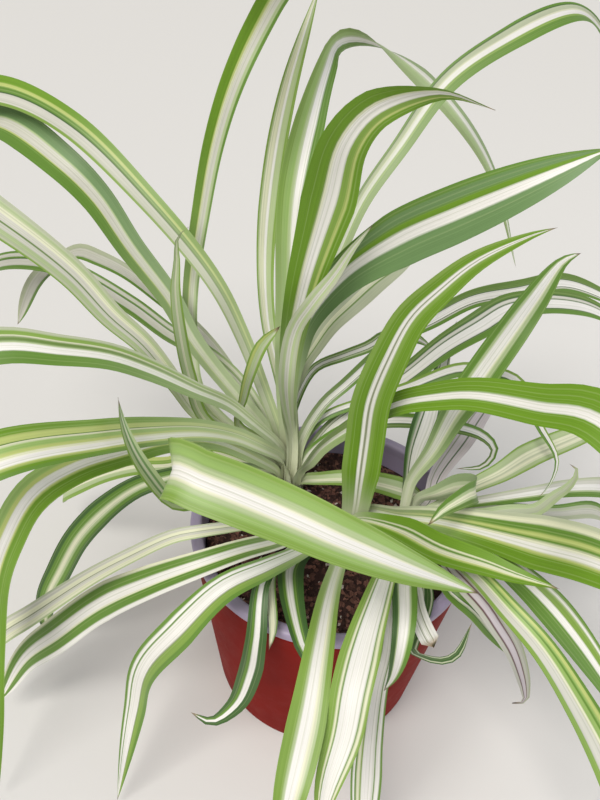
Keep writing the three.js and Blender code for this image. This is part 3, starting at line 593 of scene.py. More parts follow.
# each leaf: the height of its root on the tuft's axis, its width at the root and where it is fullest, its
# stripes from the left margin to the right one, in percent, and its midrib's points, in millimetres
leaves = {}
leaves["left"] = [
    # broad, out to the front left, then folded back over the pot
    dict(root=101, width=(7, 18), fullAt=0.4, taper=4, roll=[180] * 6 + [150, 112, 150] + [180] * 7,
         stripes="fresh 10 willow 16 mint 12 cream 4 white 20 cream 4 mint 8 willow 12 fresh 14",
         route=[(-19, -4, 109), (-29, -15, 128), (-39, -34, 148), (-46, -45, 164), (-50, -51, 173),
                (-53, -56, 179), (-49, -61, 184), (-43, -64, 184), (-34, -66, 182), (-18, -69, 177),
                (-3, -72, 172), (15, -73, 164), (28, -72, 157), (41, -71, 150)]),
    # thin, behind the fold, its tip turned up
    dict(root=98, width=(2, 7.5), fullAt=0.65, taper=2.2,
         stripes="fresh 14 mint 24 glaucous 14 sage 16 glaucous 12 mint 20",
         route=[(-38, -20, 129), (-50, -35, 143), (-58, -43, 151), (-64, -41, 158), (-70, -37, 166),
                (-74, -32, 174), (-76, -27, 181)]),
    # creased near its middle, its tip by the table; painted light brightens its upper run, which lies in
    # shade, and painted shade darkens it towards the tip
    dict(root=98, width=(4, 13), fullAt=0.45, wash=0.4, paintedShadingAlong=(1.35, 0.9),
         stripes="bright 38 lime 6 white 24 lime 12 willow 20",
         route=[(-51, 1, 138), (-66, -12, 148), (-78, -23, 152), (-92, -33, 153), (-104, -41, 148),
                (-115, -47, 130), (-124, -51, 106), (-129, -60, 73), (-131, -71, 37), (-133, -81, 5)]),
    # broad, level, to the left
    dict(root=108, width=(5.5, 16), fullAt=0.65, wash=0.6,
         stripes="leafy 8 bright 8 lime 6 white 16 cream 6 "
                 "lime 8 willow 12 cream 3 olive 2 lime 14 bright 17",
         route=[(-31, 12, 126), (-42, 6, 137), (-54, -4, 148), (-69, -20, 160), (-82, -33, 168),
                (-107, -50, 174), (-140, -64, 160), (-168, -78, 132)]),
    # broad, above it
    dict(root=112, width=(4, 13.5), fullAt=0.65, wash=0.6,
         stripes="leafy 38 white 22 mint 4 olive 12 cream 4 fresh 12 sage 8",
         route=[(-35, 18, 133), (-46, 16, 145), (-58, 10, 156), (-73, 5, 168), (-86, 1, 176), (-102, -4, 181),
                (-121, -8, 184), (-150, -16, 176), (-182, -24, 150)]),
    # thin and upright
    dict(root=106, width=(2.5, 6), fullAt=0.4, stripes="fresh 12 mint 30 cream 16 mint 26 fresh 16",
         route=[(-57, 24, 129), (-63, 25, 151), (-65, 24, 170), (-66, 24, 192), (-65, 25, 203),
                (-64, 25, 213), (-60, 25, 217)]),
    # down to the table at the left
    dict(root=99, width=(4, 12.5), fullAt=0.5, taper=4,
         stripes="deep 16 leafy 18 mint 8 cream 16 mint 6 leafy 20 deep 16",
         route=[(-37, 16, 109), (-56, 11, 112), (-72, 7, 109), (-83, 5, 105), (-96, 2, 95), (-110, -2, 79),
                (-122, -5, 56), (-131, -8, 36), (-136, -8, 5)]),
    # under it, further back
    dict(root=94, width=(6.5, 11.5), fullAt=0.7, stripes="fresh 20 mint 20 cream 20 fresh 20 lime 20",
         route=[(-38, 26, 102), (-57, 35, 99), (-78, 40, 84), (-98, 47, 74), (-118, 53, 60), (-142, 59, 39),
                (-150, 78, 12)]),
    # long, out to the left
    dict(root=99, width=(5, 14.5), fullAt=0.6, wash=0.4, lines=0.2,
         stripes="fresh 6 sage 10 mint 14 ash 14 olive 4 ash 18 cream 12 mint 12 sage 10",
         route=[(-45, 25, 118), (-62, 29, 129), (-70, 30, 142), (-82, 32, 160), (-95, 34, 172),
                (-110, 39, 187), (-136, 45, 205), (-160, 52, 216), (-192, 62, 200), (-218, 70, 166)]),
    # narrow, far back, its tip hanging
    dict(root=98, width=(4, 9.5), fullAt=0.8, stripes="leafy 20 ash 54 sage 26",
         route=[(-58, 65, 137), (-90, 84, 154), (-104, 91, 160), (-117, 96, 163), (-128, 101, 163),
                (-140, 105, 155), (-156, 111, 140), (-176, 119, 106)]),
    # narrow, over it
    dict(root=101, width=(7.5, 10.5), fullAt=0.8, wash=0.4,
         stripes="leafy 26 ash 36 deep 3 leafy 8 ash 16 leafy 11",
         route=[(-44, 45, 132), (-61, 56, 140), (-78, 63, 145), (-98, 74, 152), (-135, 91, 160),
                (-171, 106, 151), (-190, 125, 125), (-210, 138, 95)]),
    # broad arch, back left
    dict(root=109, width=(6, 16.5), fullAt=0.6, wash=0.5,
         stripes="leafy 33 lime 4 ash 27 mint 4 glaucous 32",
         route=[(-64, 47, 152), (-75, 54, 169), (-92, 62, 188), (-106, 70, 205), (-121, 77, 216),
                (-152, 97, 224), (-185, 118, 205), (-215, 140, 168)]),
    # the longest arch, back left
    dict(root=105, width=(5, 14), fullAt=0.7, wash=0.6,
         stripes="fresh 12 ash 36 deep 3 leafy 17 lime 10 bright 22",
         route=[(-43, 40, 163), (-55, 44, 186), (-82, 57, 212), (-114, 77, 231), (-151, 101, 235),
                (-190, 118, 222), (-228, 142, 186)]),
    # short and thin, upright
    dict(root=113, width=(4.5, 5.5), fullAt=0.8, wash=0.5,
         stripes="fresh 14 lime 22 mint 28 sage 16 fresh 20",
         route=[(-43, 19, 132), (-41, 23, 142), (-38, 26, 155), (-34, 31, 165), (-27, 35, 172)]),
    # tall, upright, back left
    dict(root=98, width=(5, 10), fullAt=0.7, wash=0.6,
         stripes="bright 38 lime 6 cream 10 ash 22 mint 12 leafy 12",
         route=[(-61, 39, 130), (-67, 53, 150), (-68, 64, 169), (-64, 76, 200), (-59, 83, 226),
                (-52, 87, 248), (-42, 90, 269), (-32, 82, 285), (-19, 57, 292), (-6, 30, 292)]),
    # tall, upright, its back to the front
    dict(root=110, width=(5, 9), fullAt=0.55, taper=3,
         stripes="fresh 8 mint 8 cream 26 white 14 mint 28 fresh 16",
         route=[(-24, 44, 127), (-34, 68, 153), (-37, 84, 180), (-35, 96, 216), (-30, 99, 246),
                (-20, 98, 283)]),
    # tall, tipped over to the back right
    dict(root=118, width=(8.5, 14.5), fullAt=0.42, taper=1.15, wash=0.35, roll=[0] * 3 + [60, 175, 180, 180],
         stripes="fresh 24 willow 20 mint 10 white 22 leafy 24",
         route=[(-23, 35, 134), (-25, 52, 174), (-25, 71, 218), (-17, 91, 255), (-12, 100, 264),
                (-1, 106, 264), (33, 114, 243), (64, 118, 209), (86, 116, 163)]),
    # the tall middle blade, bent over at the top
    dict(root=120, width=(5, 18), fullAt=0.6, taper=1.3, wash=0.45, roll=[0] * 9 + [45, 60],
         stripes="bright 36 cream 6 white 22 fresh 14 lime 6 bright 16",
         route=[(-22, 19, 146), (-22, 21, 172), (-19, 19, 198), (-12, 15, 235), (-9, 9, 255), (-2, 3, 267),
                (13, -12, 277), (25, -25, 277)]),
    # thin, in front of the tall ones
    dict(root=121, width=(3, 6.5), fullAt=0.4, wash=0.3, stripes="sage 20 mint 20 ash 25 mint 15 sage 20",
         route=[(-23, 11, 164), (-21, 13, 185), (-15, 12, 198), (-8, 13, 209), (-3, 13, 219), (3, 12, 229)]),
    # long and narrow, back right
    dict(root=117, width=(3.5, 10), fullAt=0.7, taper=2, wash=0.8,
         stripes="leafy 9 deep 3 sage 18 cream 5 white 20 fresh 10 leafy 35",
         route=[(-21, 35, 141), (-17, 41, 162), (-12, 45, 179), (-5, 50, 200), (2, 56, 218), (14, 64, 236),
                (30, 79, 256), (53, 97, 268), (83, 122, 275), (115, 160, 258)]),
    # broad, up to the right
    dict(root=120, width=(4, 19), fullAt=0.62, taper=3, wash=0.4,
         stripes="leafy 10 glaucous 16 bright 12 white 21 glaucous 41",
         route=[(-21, 28, 144), (-19, 32, 162), (-16, 29, 180), (-4, 27, 201), (13, 20, 220), (29, 12, 234),
                (40, 7, 243), (51, 4, 251), (67, 3, 261)]),
    # narrow, under it
    dict(root=116, width=(4, 10), fullAt=0.7, stripes="sage 30 cream 20 leafy 6 sage 44",
         route=[(-21, 41, 130), (-17, 48, 143), (-12, 51, 152), (-6, 54, 162), (2, 58, 170), (14, 69, 177),
                (30, 83, 181)]),
    # thin, low, back right
    dict(root=112, width=(3, 6.5), fullAt=0.8,
         stripes="leafy 16 mint 14 deep 3 white 30 deep 3 mint 14 leafy 20",
         route=[(-21, 33, 114), (-18, 45, 128), (-11, 57, 136), (2, 60, 142), (13, 63, 146), (20, 67, 149),
                (34, 72, 146), (43, 73, 141)]),
    # long arch, far back right
    dict(root=108, width=(4.5, 11.5), fullAt=0.6, stripes="olive 28 deep 4 white 36 deep 3 ash 8 leafy 21",
         route=[(-17, 24, 118), (-7, 31, 136), (2, 37, 143), (25, 57, 156), (39, 67, 159), (59, 84, 161),
                (88, 105, 156), (115, 125, 151), (144, 138, 138), (176, 143, 119)]),
    # long arch beside it
    dict(root=99, width=(5.5, 13.5), fullAt=0.5, taper=3,
         stripes="olive 18 deep 3 ash 12 deep 3 white 38 deep 3 leafy 23",
         route=[(-16, 22, 104), (-3, 31, 122), (4, 34, 128), (28, 46, 142), (45, 56, 153), (61, 66, 159),
                (76, 78, 162), (104, 94, 157), (131, 106, 146), (158, 108, 127)]),
    # thin, its tip turned down and in
    dict(root=104, width=(3.5, 6.5), fullAt=0.55, taper=1.3, stripes="fresh 20 white 40 deep 10 leafy 30",
         route=[(-8, 30, 128), (13, 35, 137), (28, 37, 143), (50, 41, 152), (64, 39, 153), (74, 36, 151),
                (84, 25, 138), (92, 15, 128), (89, 7, 121), (85, 4, 116)]),
    # broad arch, right, over the others
    dict(root=108, width=(5, 16.5), fullAt=0.7, wash=0.35, roll=[180, 180],
         stripes="bright 42 white 22 bright 36",
         route=[(-14, 16, 113), (-7, 13, 128), (1, 10, 140), (19, 3, 162), (32, -6, 174), (42, -14, 182),
                (58, -29, 191), (70, -43, 199), (92, -72, 190), (112, -92, 166)]),
    # short, its tip curled under
    dict(root=99, width=(4.5, 6.5), fullAt=0.4, taper=3, stripes="leafy 26 ash 8 white 34 deep 4 olive 28",
         route=[(-7, 24, 119), (5, 27, 127), (21, 28, 132), (44, 28, 132), (63, 28, 127), (69, 26, 121),
                (65, 22, 115), (53, 20, 114)]),
    # short, low, over the soil
    dict(root=96, width=(6.5, 10.5), fullAt=0.8, stripes="fresh 20 mint 25 cream 20 mint 15 fresh 20",
         route=[(-8, 17, 104), (5, 16, 107), (18, 16, 106), (30, 16, 103), (41, 16, 99)]),
]
leaves["middle"] = [
    # the upright front blade
    dict(root=102, width=(9.5, 15), fullAt=0.2,
         stripes="fresh 14 bright 24 white 11 line 1 white 10 fresh 12 bright 28",
         route=[(9, -5, 112), (9, -4, 127), (9, -2, 147), (9, -2, 167), (13, -3, 188), (18, -3, 204),
                (25, -5, 216), (34, -7, 228), (47, -12, 240), (52, -15, 244)]),
    # long, greyish, left
    dict(root=103, width=(3.5, 9.5), fullAt=0.8,
         stripes="mint 10 cream 22 ash 20 line 2 cream 20 ash 16 sage 10",
         route=[(-22, -14, 112), (-37, -23, 117), (-52, -28, 118), (-62, -29, 115), (-79, -33, 106),
                (-95, -36, 95), (-119, -42, 76), (-134, -43, 62), (-158, -54, 40)]),
    # broad, down to the table, front left
    dict(root=97, width=(5.5, 16), fullAt=0.55, taper=4, wash=0.3,
         stripes="white 14 leafy 26 cream 4 white 24 leafy 24 cream 8",
         route=[(-13, -12, 102), (-23, -20, 105), (-36, -28, 108), (-51, -35, 107), (-71, -37, 96),
                (-93, -36, 77), (-113, -38, 56), (-130, -39, 37), (-145, -45, 10)]),
    # broad, down to the table, front
    dict(root=103, width=(4, 13), fullAt=0.45, taper=2, wash=0.35,
         stripes="leafy 16 fresh 22 line 3 white 36 leafy 3 white 10 leafy 10",
         route=[(-7, -23, 109), (-13, -31, 113), (-25, -44, 119), (-39, -53, 118), (-54, -61, 103),
                (-68, -63, 79), (-74, -66, 52), (-83, -81, 3)]),
    # over the rim and down the pot
    dict(root=100, width=(3, 9), fullAt=0.65, stripes="deep 34 white 26 leafy 16 deep 24",
         route=[(-7, -22, 106), (-19, -33, 111), (-26, -44, 113), (-27, -61, 101), (-29, -64, 82),
                (-34, -67, 64), (-43, -70, 56), (-51, -69, 60)]),
    # over the rim, short
    dict(root=91, width=(3.5, 11), fullAt=0.4, taper=1.6,
         stripes="deep 26 leafy 12 white 26 mint 4 leafy 12 deep 20",
         route=[(-8, -14, 96), (-16, -27, 100), (-16, -42, 105), (-11, -62, 104), (-8, -64, 97),
                (-3, -67, 80)]),
    # straight out to the front
    dict(root=91, width=(5, 12.5), fullAt=0.7, wash=0.5,
         stripes="fresh 18 mint 8 cream 10 white 30 mint 8 fresh 26",
         route=[(7, -12, 97), (2, -30, 104), (-2, -50, 111), (-5, -72, 114), (-8, -93, 107), (-12, -112, 97),
                (-14, -121, 80)]),
    # pointed, front right
    dict(root=100, width=(3.5, 11.5), fullAt=0.4, wash=0.3,
         stripes="bright 34 cream 5 leafy 8 cream 14 lime 6 bright 33",
         route=[(11, -11, 112), (25, -23, 121), (37, -38, 129), (51, -48, 135), (59, -53, 137),
                (72, -59, 139)]),
    # the broadest, right
    dict(root=98, width=(5.5, 19), fullAt=0.55, wash=0.45,
         stripes="sage 8 cream 10 leafy 14 lime 8 leafy 6 cream 6 white 14 lime 6 bright 28",
         route=[(13, -3, 109), (26, -11, 116), (37, -17, 122), (50, -25, 128), (68, -44, 143), (79, -61, 157),
                (95, -75, 160), (113, -92, 150)]),
]
leaves["right"] = [
    # upright, back right
    dict(root=104, width=(4, 13), fullAt=0.45, taper=3, wash=0.5,
         stripes="leafy 22 mint 8 white 30 cream 4 mint 12 leafy 24",
         route=[(32, 9, 115), (39, 10, 134), (44, 12, 151), (51, 15, 168), (61, 22, 186), (67, 28, 194),
                (79, 43, 204), (83, 45, 206), (87, 48, 206)]),
    # short, beside it
    dict(root=102, width=(4, 12), fullAt=0.38, taper=1.2, wash=0.1,
         stripes="deep 12 glaucous 8 ash 10 deep 3 white 49 deep 2 sage 16",
         route=[(32, 10, 113), (33, 15, 128), (36, 21, 137), (40, 34, 142), (44, 48, 144), (48, 62, 148),
                (53, 77, 154)]),
    # short, behind it
    dict(root=95, width=(5, 10), fullAt=0.55, taper=3, stripes="rose 25 line 5 rose 30 deep 5 rose 35",
         route=[(43, 13, 101), (46, 21, 107), (58, 37, 116), (67, 51, 120), (79, 68, 122)]),
    # broad, level, right
    dict(root=100, width=(4, 11), fullAt=0.45, taper=3,
         stripes="fresh 8 mint 24 cream 22 sage 6 cream 18 mint 14 fresh 8",
         route=[(42, 3, 105), (57, 7, 116), (69, 12, 120), (84, 23, 122), (108, 38, 122), (123, 49, 120),
                (140, 58, 112)]),
    # folded over near its tip
    dict(root=100, width=(3, 9.8), fullAt=0.45, taper=3, wash=0.4, roll=[180, 180],
         stripes="olive 26 mint 10 cream 20 mint 14 leafy 30",
         route=[(34, 6, 106), (41, 0, 118), (47, -4, 127), (51, -11, 135), (51, -16, 138), (47, -21, 141),
                (42, -25, 141), (37, -28, 139), (32, -32, 135)]),
    # thin, hooked at its tip
    dict(root=99, width=(2.5, 6), fullAt=0.5, stripes="mint 30 sage 40 mint 30",
         route=[(41, -2, 109), (59, -7, 115), (72, -5, 116), (82, -4, 117), (89, 0, 121), (95, 3, 125),
                (98, 7, 130), (95, 10, 131)]),
    # level, right
    dict(root=99, width=(3.5, 11.5), fullAt=0.8, stripes="sage 12 ash 20 white 30 mint 10 leafy 28",
         route=[(46, 4, 106), (62, 5, 110), (87, 12, 110), (103, 20, 106), (123, 28, 100), (150, 46, 78)]),
    # level, right, below it
    dict(root=96, width=(4, 8.5), fullAt=0.75, stripes="leafy 22 sage 18 ash 34 sage 26",
         route=[(51, 6, 102), (63, 6, 105), (97, 11, 100), (125, 23, 89), (142, 20, 70)]),
    # down to the front right
    dict(root=99, width=(5, 12.5), fullAt=0.55, taper=2, wash=0.3,
         stripes="leafy 10 white 8 fresh 20 white 20 leafy 42",
         route=[(44, -8, 106), (58, -24, 114), (68, -38, 117), (80, -50, 113), (100, -66, 95),
                (114, -76, 76)]),
    # broad, down to the front right
    dict(root=107, width=(4.5, 13.5), fullAt=0.85, wash=0.45,
         stripes="leafy 10 lime 10 willow 6 leafy 6 willow 12 cream 8 ash 30 fresh 18",
         route=[(38, -23, 113), (49, -43, 124), (58, -59, 126), (68, -70, 122), (80, -81, 110), (93, -94, 94),
                (108, -117, 72)]),
    # down, its dry tip curled in; painted shade darkens it towards the tip
    dict(root=102, width=(3, 8.5), fullAt=0.45, taper=3, paintedShadingAlong=(1.15, 0.6),
         stripes="sage 12 ash 22 dried 7 rose 28 dried 9 ash 22",
         route=[(45, -29, 109), (47, -42, 117), (54, -51, 116), (59, -55, 111), (65, -58, 103), (70, -60, 93),
                (75, -62, 80), (76, -63, 74), (72, -63, 72)]),
    # short, down
    dict(root=96, width=(2.5, 5.5), fullAt=0.65, stripes="leafy 30 deep 6 ash 10 mint 8 deep 6 leafy 40",
         route=[(39, -29, 108), (43, -44, 112), (51, -48, 108), (60, -49, 97), (70, -50, 84)]),
    # over the front rim
    dict(root=98, width=(4.5, 9.5), fullAt=0.4, stripes="leafy 24 mint 6 white 40 mint 6 deep 24",
         route=[(28, -25, 106), (26, -43, 112), (25, -57, 113), (24, -65, 107), (23, -68, 95),
                (21, -68, 84)]),
    # down the front of the pot
    dict(root=91, width=(4, 12), fullAt=0.75, wash=0.15,
         stripes="leafy 8 white 14 leafy 5 white 38 fresh 6 cream 10 leafy 6 white 6 leafy 7",
         route=[(25, -34, 99), (21, -52, 104), (20, -61, 98), (19, -64, 77), (18, -75, 60), (19, -86, 34),
                (20, -95, 9)]),
    # broad, out to the front
    dict(root=102, width=(4, 13.5), fullAt=0.6, wash=0.15,
         stripes="fresh 8 cream 8 leafy 5 white 50 leafy 4 cream 6 fresh 19",
         route=[(22, -30, 112), (17, -46, 117), (14, -56, 119), (10, -69, 118), (6, -84, 113), (4, -95, 104),
                (0, -106, 94), (-2, -115, 79)]),
]

# old outer leaves, one piece with their tuft in the solids
oldLeaves = {}
oldLeaves["middle"] = [
    # thin, over the rim
    dict(root=98, width=(2.5, 3.5), fullAt=0.8, stripes="leafy 14 sage 18 cream 44 sage 24",
         route=[(-18, -28, 109), (-23, -38, 108), (-21, -59, 104), (-22, -64, 99)]),
]
oldLeaves["right"] = [
    # over the rim, curled up like a hook
    dict(root=94, width=(2, 5), fullAt=0.45, taper=3, stripes="deep 10 sage 14 deep 50 sage 14 deep 12",
         route=[(37, -36, 102), (33, -52, 105), (30, -58, 97), (36, -58, 92), (41, -59, 92), (46, -59, 96),
                (50, -54, 110)]),
    # cut off square, over the rim
    dict(root=95, width=(3, 7), fullAt=0.6, cutOff=True, stripes="white 30 line 3 white 30 line 3 white 34",
         route=[(31, -37, 104), (31, -49, 107), (33, -57, 107), (36, -63, 106)]),
]


def onCurve(points, t):
    # three.js's centripetal Catmull-Rom, so the leaves lie on the solids' own midribs
    spans = len(points) - 1
    place = min(t * spans, spans - 1e-9)
    i = int(place)
    share = place - i
    p1, p2 = points[i], points[i + 1]
    p0 = points[i - 1] if i > 0 else 2 * points[0] - points[1]
    p3 = points[i + 2] if i + 2 <= spans else 2 * points[-1] - points[-2]
    d0, d1, d2 = (np.linalg.norm(b - a) ** 0.5 for a, b in ((p0, p1), (p1, p2), (p2, p3)))
    leave = ((p1 - p0) / d0 - (p2 - p0) / (d0 + d1) + (p2 - p1) / d1) * d1
    arrive = ((p2 - p1) / d1 - (p3 - p1) / (d1 + d2) + (p3 - p2) / d2) * d1
    return (p1 + leave * share + (3 * (p2 - p1) - 2 * leave - arrive) * share ** 2
            + (2 * (p1 - p2) + leave + arrive) * share ** 3)


def lengthsAlong(path):
    steps = np.linalg.norm(np.diff(path, axis=0), axis=1)
    return np.concatenate([[0], np.cumsum(steps)])


def unit(vector):
    return vector / np.linalg.norm(vector)


def bladePath(side, leaf):
    # the midrib: a foot that stands in the soil inside the tuft, then the solids' own curve
    tuft = tufts[side]
    place = np.array(tuft["place"], float)
    points = [np.array((*place, leaf["root"]), float)] + [np.array(p, float) for p in leaf["route"]]
    steps = blade["curveSteps"]
    curve = np.array([onCurve(points, i / steps) for i in range(steps + 1)])
    lengths = lengthsAlong(curve)
    reach = np.linalg.norm(curve[:, :2] - place, axis=1)
    clear = (reach > tuft["radius"] + blade["tuftClear"]) | (curve[:, 2] > tuft["top"])
    leaving = int(np.argmax(clear))
    joint = curve[leaving]
    heading = unit(curve[leaving + 1] - curve[leaving - 1])
    outward = unit(joint[:2] - place if reach[leaving] > 1 else curve[-1, :2] - place)
    # older blades leave low and stand outside, younger ones leave high and stand in the middle
    heights = sorted(other["root"] for other in leaves[side])
    rank = np.searchsorted(heights, leaf["root"]) / len(heights)
    footRadius = tuft["radius"] * (blade["outerFoot"] + (blade["innerFoot"] - blade["outerFoot"]) * rank)
    foot = np.array((*(place + outward * footRadius), soilBed["level"] - blade["footDepth"]))
    above = foot + np.array((0, 0, blade["footBend"] * (joint[2] - foot[2])))
    before = joint - heading * blade["jointBend"] * np.linalg.norm(joint - foot)
    t = np.linspace(0, 1, blade["footSteps"] + 1)[:-1, None]
    stem = (foot * (1 - t) ** 3 + 3 * above * t * (1 - t) ** 2
            + 3 * before * t ** 2 * (1 - t) + joint * t ** 3)
    path = np.concatenate([stem, curve[leaving:]])
    # along is 0 at the tuft's axis and 1 at the tip on the curve, and goes on below 0 down the foot
    along = (lengthsAlong(path) - lengthsAlong(path)[blade["footSteps"]] + lengths[leaving]) / lengths[-1]
    # the upper face starts towards the light
    across = np.cross(curve[1] - curve[0], sunPoint - curve[0])
    return path, along, lengths[-1], across


def bladeFrames(centres, tangents, along, side, roll, turnShare):
    # which way is across the blade and which way its face looks, at each midrib point
    across, face = [], []
    for centre, tangent, t in zip(centres, tangents, along):
        side = unit(side - tangent * (side @ tangent))
        # carried along the midrib and turned slowly towards the light
        lit = unit(np.cross(tangent, sunPoint - centre))
        if lit @ side < 0:
            lit = -lit
        if t > 0:
            side = side + (lit - side) * turnShare
        angle = math.radians(np.interp(t, np.linspace(0, 1, len(roll)), roll))
        rolled = unit(side * math.cos(angle) + np.cross(tangent, side) * math.sin(angle))
        across.append(rolled)
        face.append(np.cross(rolled, tangent))
    return across, face


def leafMidrib(tuft, leaf):
    # evenly spaced midrib points with everything that the blade's tree reads from each
    path, shares, length, side = bladePath(tuft, leaf)
    total = (shares[-1] - shares[0]) * length
    rows = int(min(blade["mostRows"], max(blade["fewestRows"], round(total / blade["rowStep"]))))
    along = np.linspace(shares[0], 1, rows)
    centres = np.stack([np.interp(along, shares, path[:, k]) for k in range(3)], axis=1)
    tangents = np.gradient(centres, axis=0)
    tangents /= np.linalg.norm(tangents, axis=1)[:, None]
    turnShare = 1 - (1 - blade["turn"]) ** (total / rows / blade["turnStep"])
    across, face = bladeFrames(centres, tangents, along, side, leaf["roll"], turnShare)
    narrow, full = leaf["width"]
    opened = narrow + (full - narrow) * np.clip(along / leaf["fullAt"], 0, 1) ** blade["opening"]
    towardsTip = np.maximum(0, (along - leaf["fullAt"]) / (1 - leaf["fullAt"]))
    if leaf["cutOff"]:
        towardsTip[:] = 0
    width = np.maximum(blade["tipWidth"], opened * (1 - towardsTip ** leaf["taper"]))
    closing = np.clip(1 - along, 0, 1) ** 3
    underground = np.clip(-along * length / blade["footLength"], 0, 1)
    rise = width * (blade["channel"] + blade["rootChannel"] * closing + blade["footChannel"] * underground)
    thickness = np.interp(along, [0, blade["footEnd"], 1],
                          [blade["footThickness"], blade["thickness"], blade["tipThickness"]])
    for end in (0, -1):
        width[end] = thickness[end] = 0
    return centres * mm, dict(across=across, face=face, halfWidth=width / 2 * mm,
                              halfThickness=thickness / 2 * mm, rise=rise * mm, along=along), length


def stripeRamp(tree, place, text):
    # "fresh 10 willow 16" is 10 percent of the width in fresh green, then 16 percent in willow green
    words = text.split()
    striped = addNode(tree, "ShaderNodeValToRGB", {0: place})
    stops = striped.color_ramp.elements
    reached = 0
    for i, (tint, share) in enumerate(zip(words[::2], words[1::2])):
        # the ramp's alpha says how much of the stripe is green tissue
        colour = linear(tissue.get(tint) or blanched[tint])[:3] + (1.0 if tint in tissue else 0.0,)
        first = stops[0] if i == 0 else stops.new(min(nearlyOne, reached + leafLook["softness"]))
        first.color = colour
        reached += int(share) / 100
        if i < len(words) / 2 - 1:
            stops.new(reached - leafLook["softness"]).color = colour
        else:
            stops[len(stops) - 1].color = colour
    return striped.outputs["Color"], striped.outputs["Alpha"]


def leafSkin(name, leaf, length, seed):
    # a spider plant leaf: a waxy cuticle over parallel veins, with green tissue in some stripes and
    # none in others, so it reads as satin bands with fine lines that run from root to tip
    material, tree = newMaterial(name)
    across, along, under = (addNode(tree, "ShaderNodeAttribute", attribute_name=label).outputs["Fac"]
                            for label in ("across", "along", "under"))
    look = leafLook
    # long thin coordinates: x counts veins across, y runs slowly along
    veinPlace = calc(tree, "MULTIPLY_ADD", across, leaf["width"][1] / 2 / look["veinSpacing"], seed)
    slowPlace = calc(tree, "MULTIPLY", along, length / look["slowLength"])
    streakPlace = addNode(tree, "ShaderNodeCombineXYZ", {"X": veinPlace, "Y": slowPlace})
    streaks = noise(tree, streakPlace, 1.0, 2.0, 0.6, "2D")
    # the stripes wander a little and their borders are ragged by single veins
    stray = (-look["wander"], look["wander"])
    wander = remap(tree, lineNoise(tree, slowPlace, 1.4, 1.0), whole, stray)
    moved = calc(tree, "ADD", across, wander)
    frayed = calc(tree, "ADD", moved, remap(tree, streaks, whole, stray))
    striped, green = stripeRamp(tree, remap(tree, frayed, (-1.0, 1.0), whole), leaf["stripes"])
    # lighter and darker veins, thin pale lines in the green and grey-green ones in the pale
    veined = scaled(tree, striped, remap(tree, streaks, (0.3, 0.7), (0.92, 1.06)))
    lines = lineNoise(tree, veinPlace, 0.9, 0.0)
    lineShare = fade(tree, lines, (0.6, 0.72), (0.0, leaf["lines"]))
    lined = blend(tree, calc(tree, "MULTIPLY", lineShare, green), veined, look["veinLine"])
    grooveShare = fade(tree, lines, (0.42, 0.3), (0.0, 0.3))
    pale = calc(tree, "SUBTRACT", 1.0, green)
    skin = blend(tree, calc(tree, "MULTIPLY", grooveShare, pale), lined, look["veinGroove"])
    # towards the root the blade is washed out, in the tuft it is blanched, and its tip is dry
    for span, result, colour in (
            ((0.0, leaf["wash"]), (0.75, 0.0), look["washed"]),
            ((look["blanchStart"] / length, look["blanchEnd"] / length), (0.8, 0.0), look["blanched"]),
            ((1 - look["dryStart"] / length, 1 - look["dryEnd"] / length), (0.0, 0.9), look["dry"])):
        skin = blend(tree, fade(tree, along, span, result), skin, colour)
    # the lower face shows the same stripes through a grey bloom
    skin = blend(tree, calc(tree, "MULTIPLY", under, look["bloomShare"]), skin, look["bloom"])
    clouds = noise(tree, objectSpot(tree), perMetre / look["cloudSize"], 3.0)
    cloudTone = remap(tree, clouds, whole, (0.88, 1.1))
    # painted light and shade along each leaf: its colour is scaled from one number at the root to another at
    # the tip, on top of the random clouds
    paintedShadingTone = remap(tree, along, whole, leaf["paintedShadingAlong"])
    cloudedAndShaded = scaled(tree, skin, calc(tree, "MULTIPLY", cloudTone, paintedShadingTone))
    # veins stand in low relief, and the midrib is a groove
    rib = fade(tree, calc(tree, "ABSOLUTE", across), (0.0, 0.09), whole)
    height = calc(tree, "MULTIPLY_ADD", streaks, 0.8, rib)
    return finishMaterial(material, tree, {
        "Base Color": cloudedAndShaded, "Roughness": remap(tree, streaks, whole, (0.36, 0.52)),
        "Normal": bump(tree, height, 0.3, 0.0002), "IOR": 1.42})


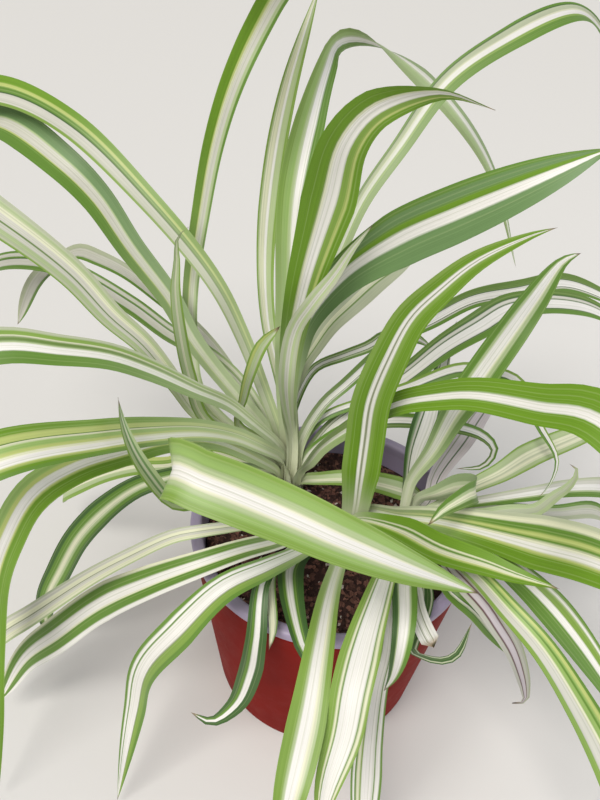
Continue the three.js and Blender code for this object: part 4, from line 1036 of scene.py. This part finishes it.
def makeBlade(name, tuft, row):
    leaf = {**plainLeaf, **row}
    points, lists, length = leafMidrib(tuft, leaf)
    skinSeed = chance.uniform(0, 90)
    values = {"Rows": len(points), "Around": blade["around"], "Ripple": blade["ripple"] * mm,
              "Ripple Count": fullTurn * length / blade["rippleLength"], "Seed": chance.uniform(0, 6),
              "Material": leafSkin(name + "Skin", leaf, length, skinSeed)}
    return makePiece(name, pointMesh(name + "Midrib", points, **lists), bladeAlong, values)


def sheathSkin():
    # blanched leaf sheaths: thin, overlapping and papery, cream with green veins
    material, tree = newMaterial("blanchedSheath")
    stretched = addNode(tree, "ShaderNodeMapping", {"Vector": objectSpot(tree), "Scale": (1.0, 1.0, 0.08)})
    veins = noise(tree, stretched, perMetre / tuftShape["veinWidth"], 3.0)
    return finishMaterial(material, tree, {
        "Base Color": blend(tree, veins, tuftShape["vein"], tuftShape["sheath"]), "Roughness": 0.5,
        "Normal": bump(tree, veins, 0.4, 0.0004)})


def makeTuft(side):
    t = tufts[side]
    top = t["top"] - tuftShape["coreDrop"]
    core = t["radius"] * tuftShape["coreShare"]
    profile = [(0, tuftShape["foot"]), (core, tuftShape["foot"]), (core, soilBed["level"])]
    profile += [(core * share, top - depth) for share, depth in tuftShape["crown"]]
    tuft = turnPiece(side + "Tuft", roundCorner(profile, tuftShape["bend"]), sheath, sides=97,
                     ribs=tuftShape["ribs"], ribDepth=tuftShape["ribDepth"], centre=t["place"])
    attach(tuft, "root")
    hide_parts("tuft_" + side)
    for i, leaf in enumerate(oldLeaves.get(side, [])):
        old = makeBlade(side + "OldLeaf" + str(i + 1), side, leaf)
        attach(old, "root")
        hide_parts("tuft_" + side)


def makeLeaves(side):
    for i, leaf in enumerate(leaves[side]):
        piece = makeBlade("%sLeaf%02d" % (side, i + 1), side, leaf)
        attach(piece, "root")
        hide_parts("leaf_%s_%02d" % (side, i + 1))


chance = random.Random(7)
bladeAlong = bladeTree()
sheath = sheathSkin()
for side in tufts:
    makeTuft(side)
    makeLeaves(side)
    print(side, "tuft and its leaves are in")
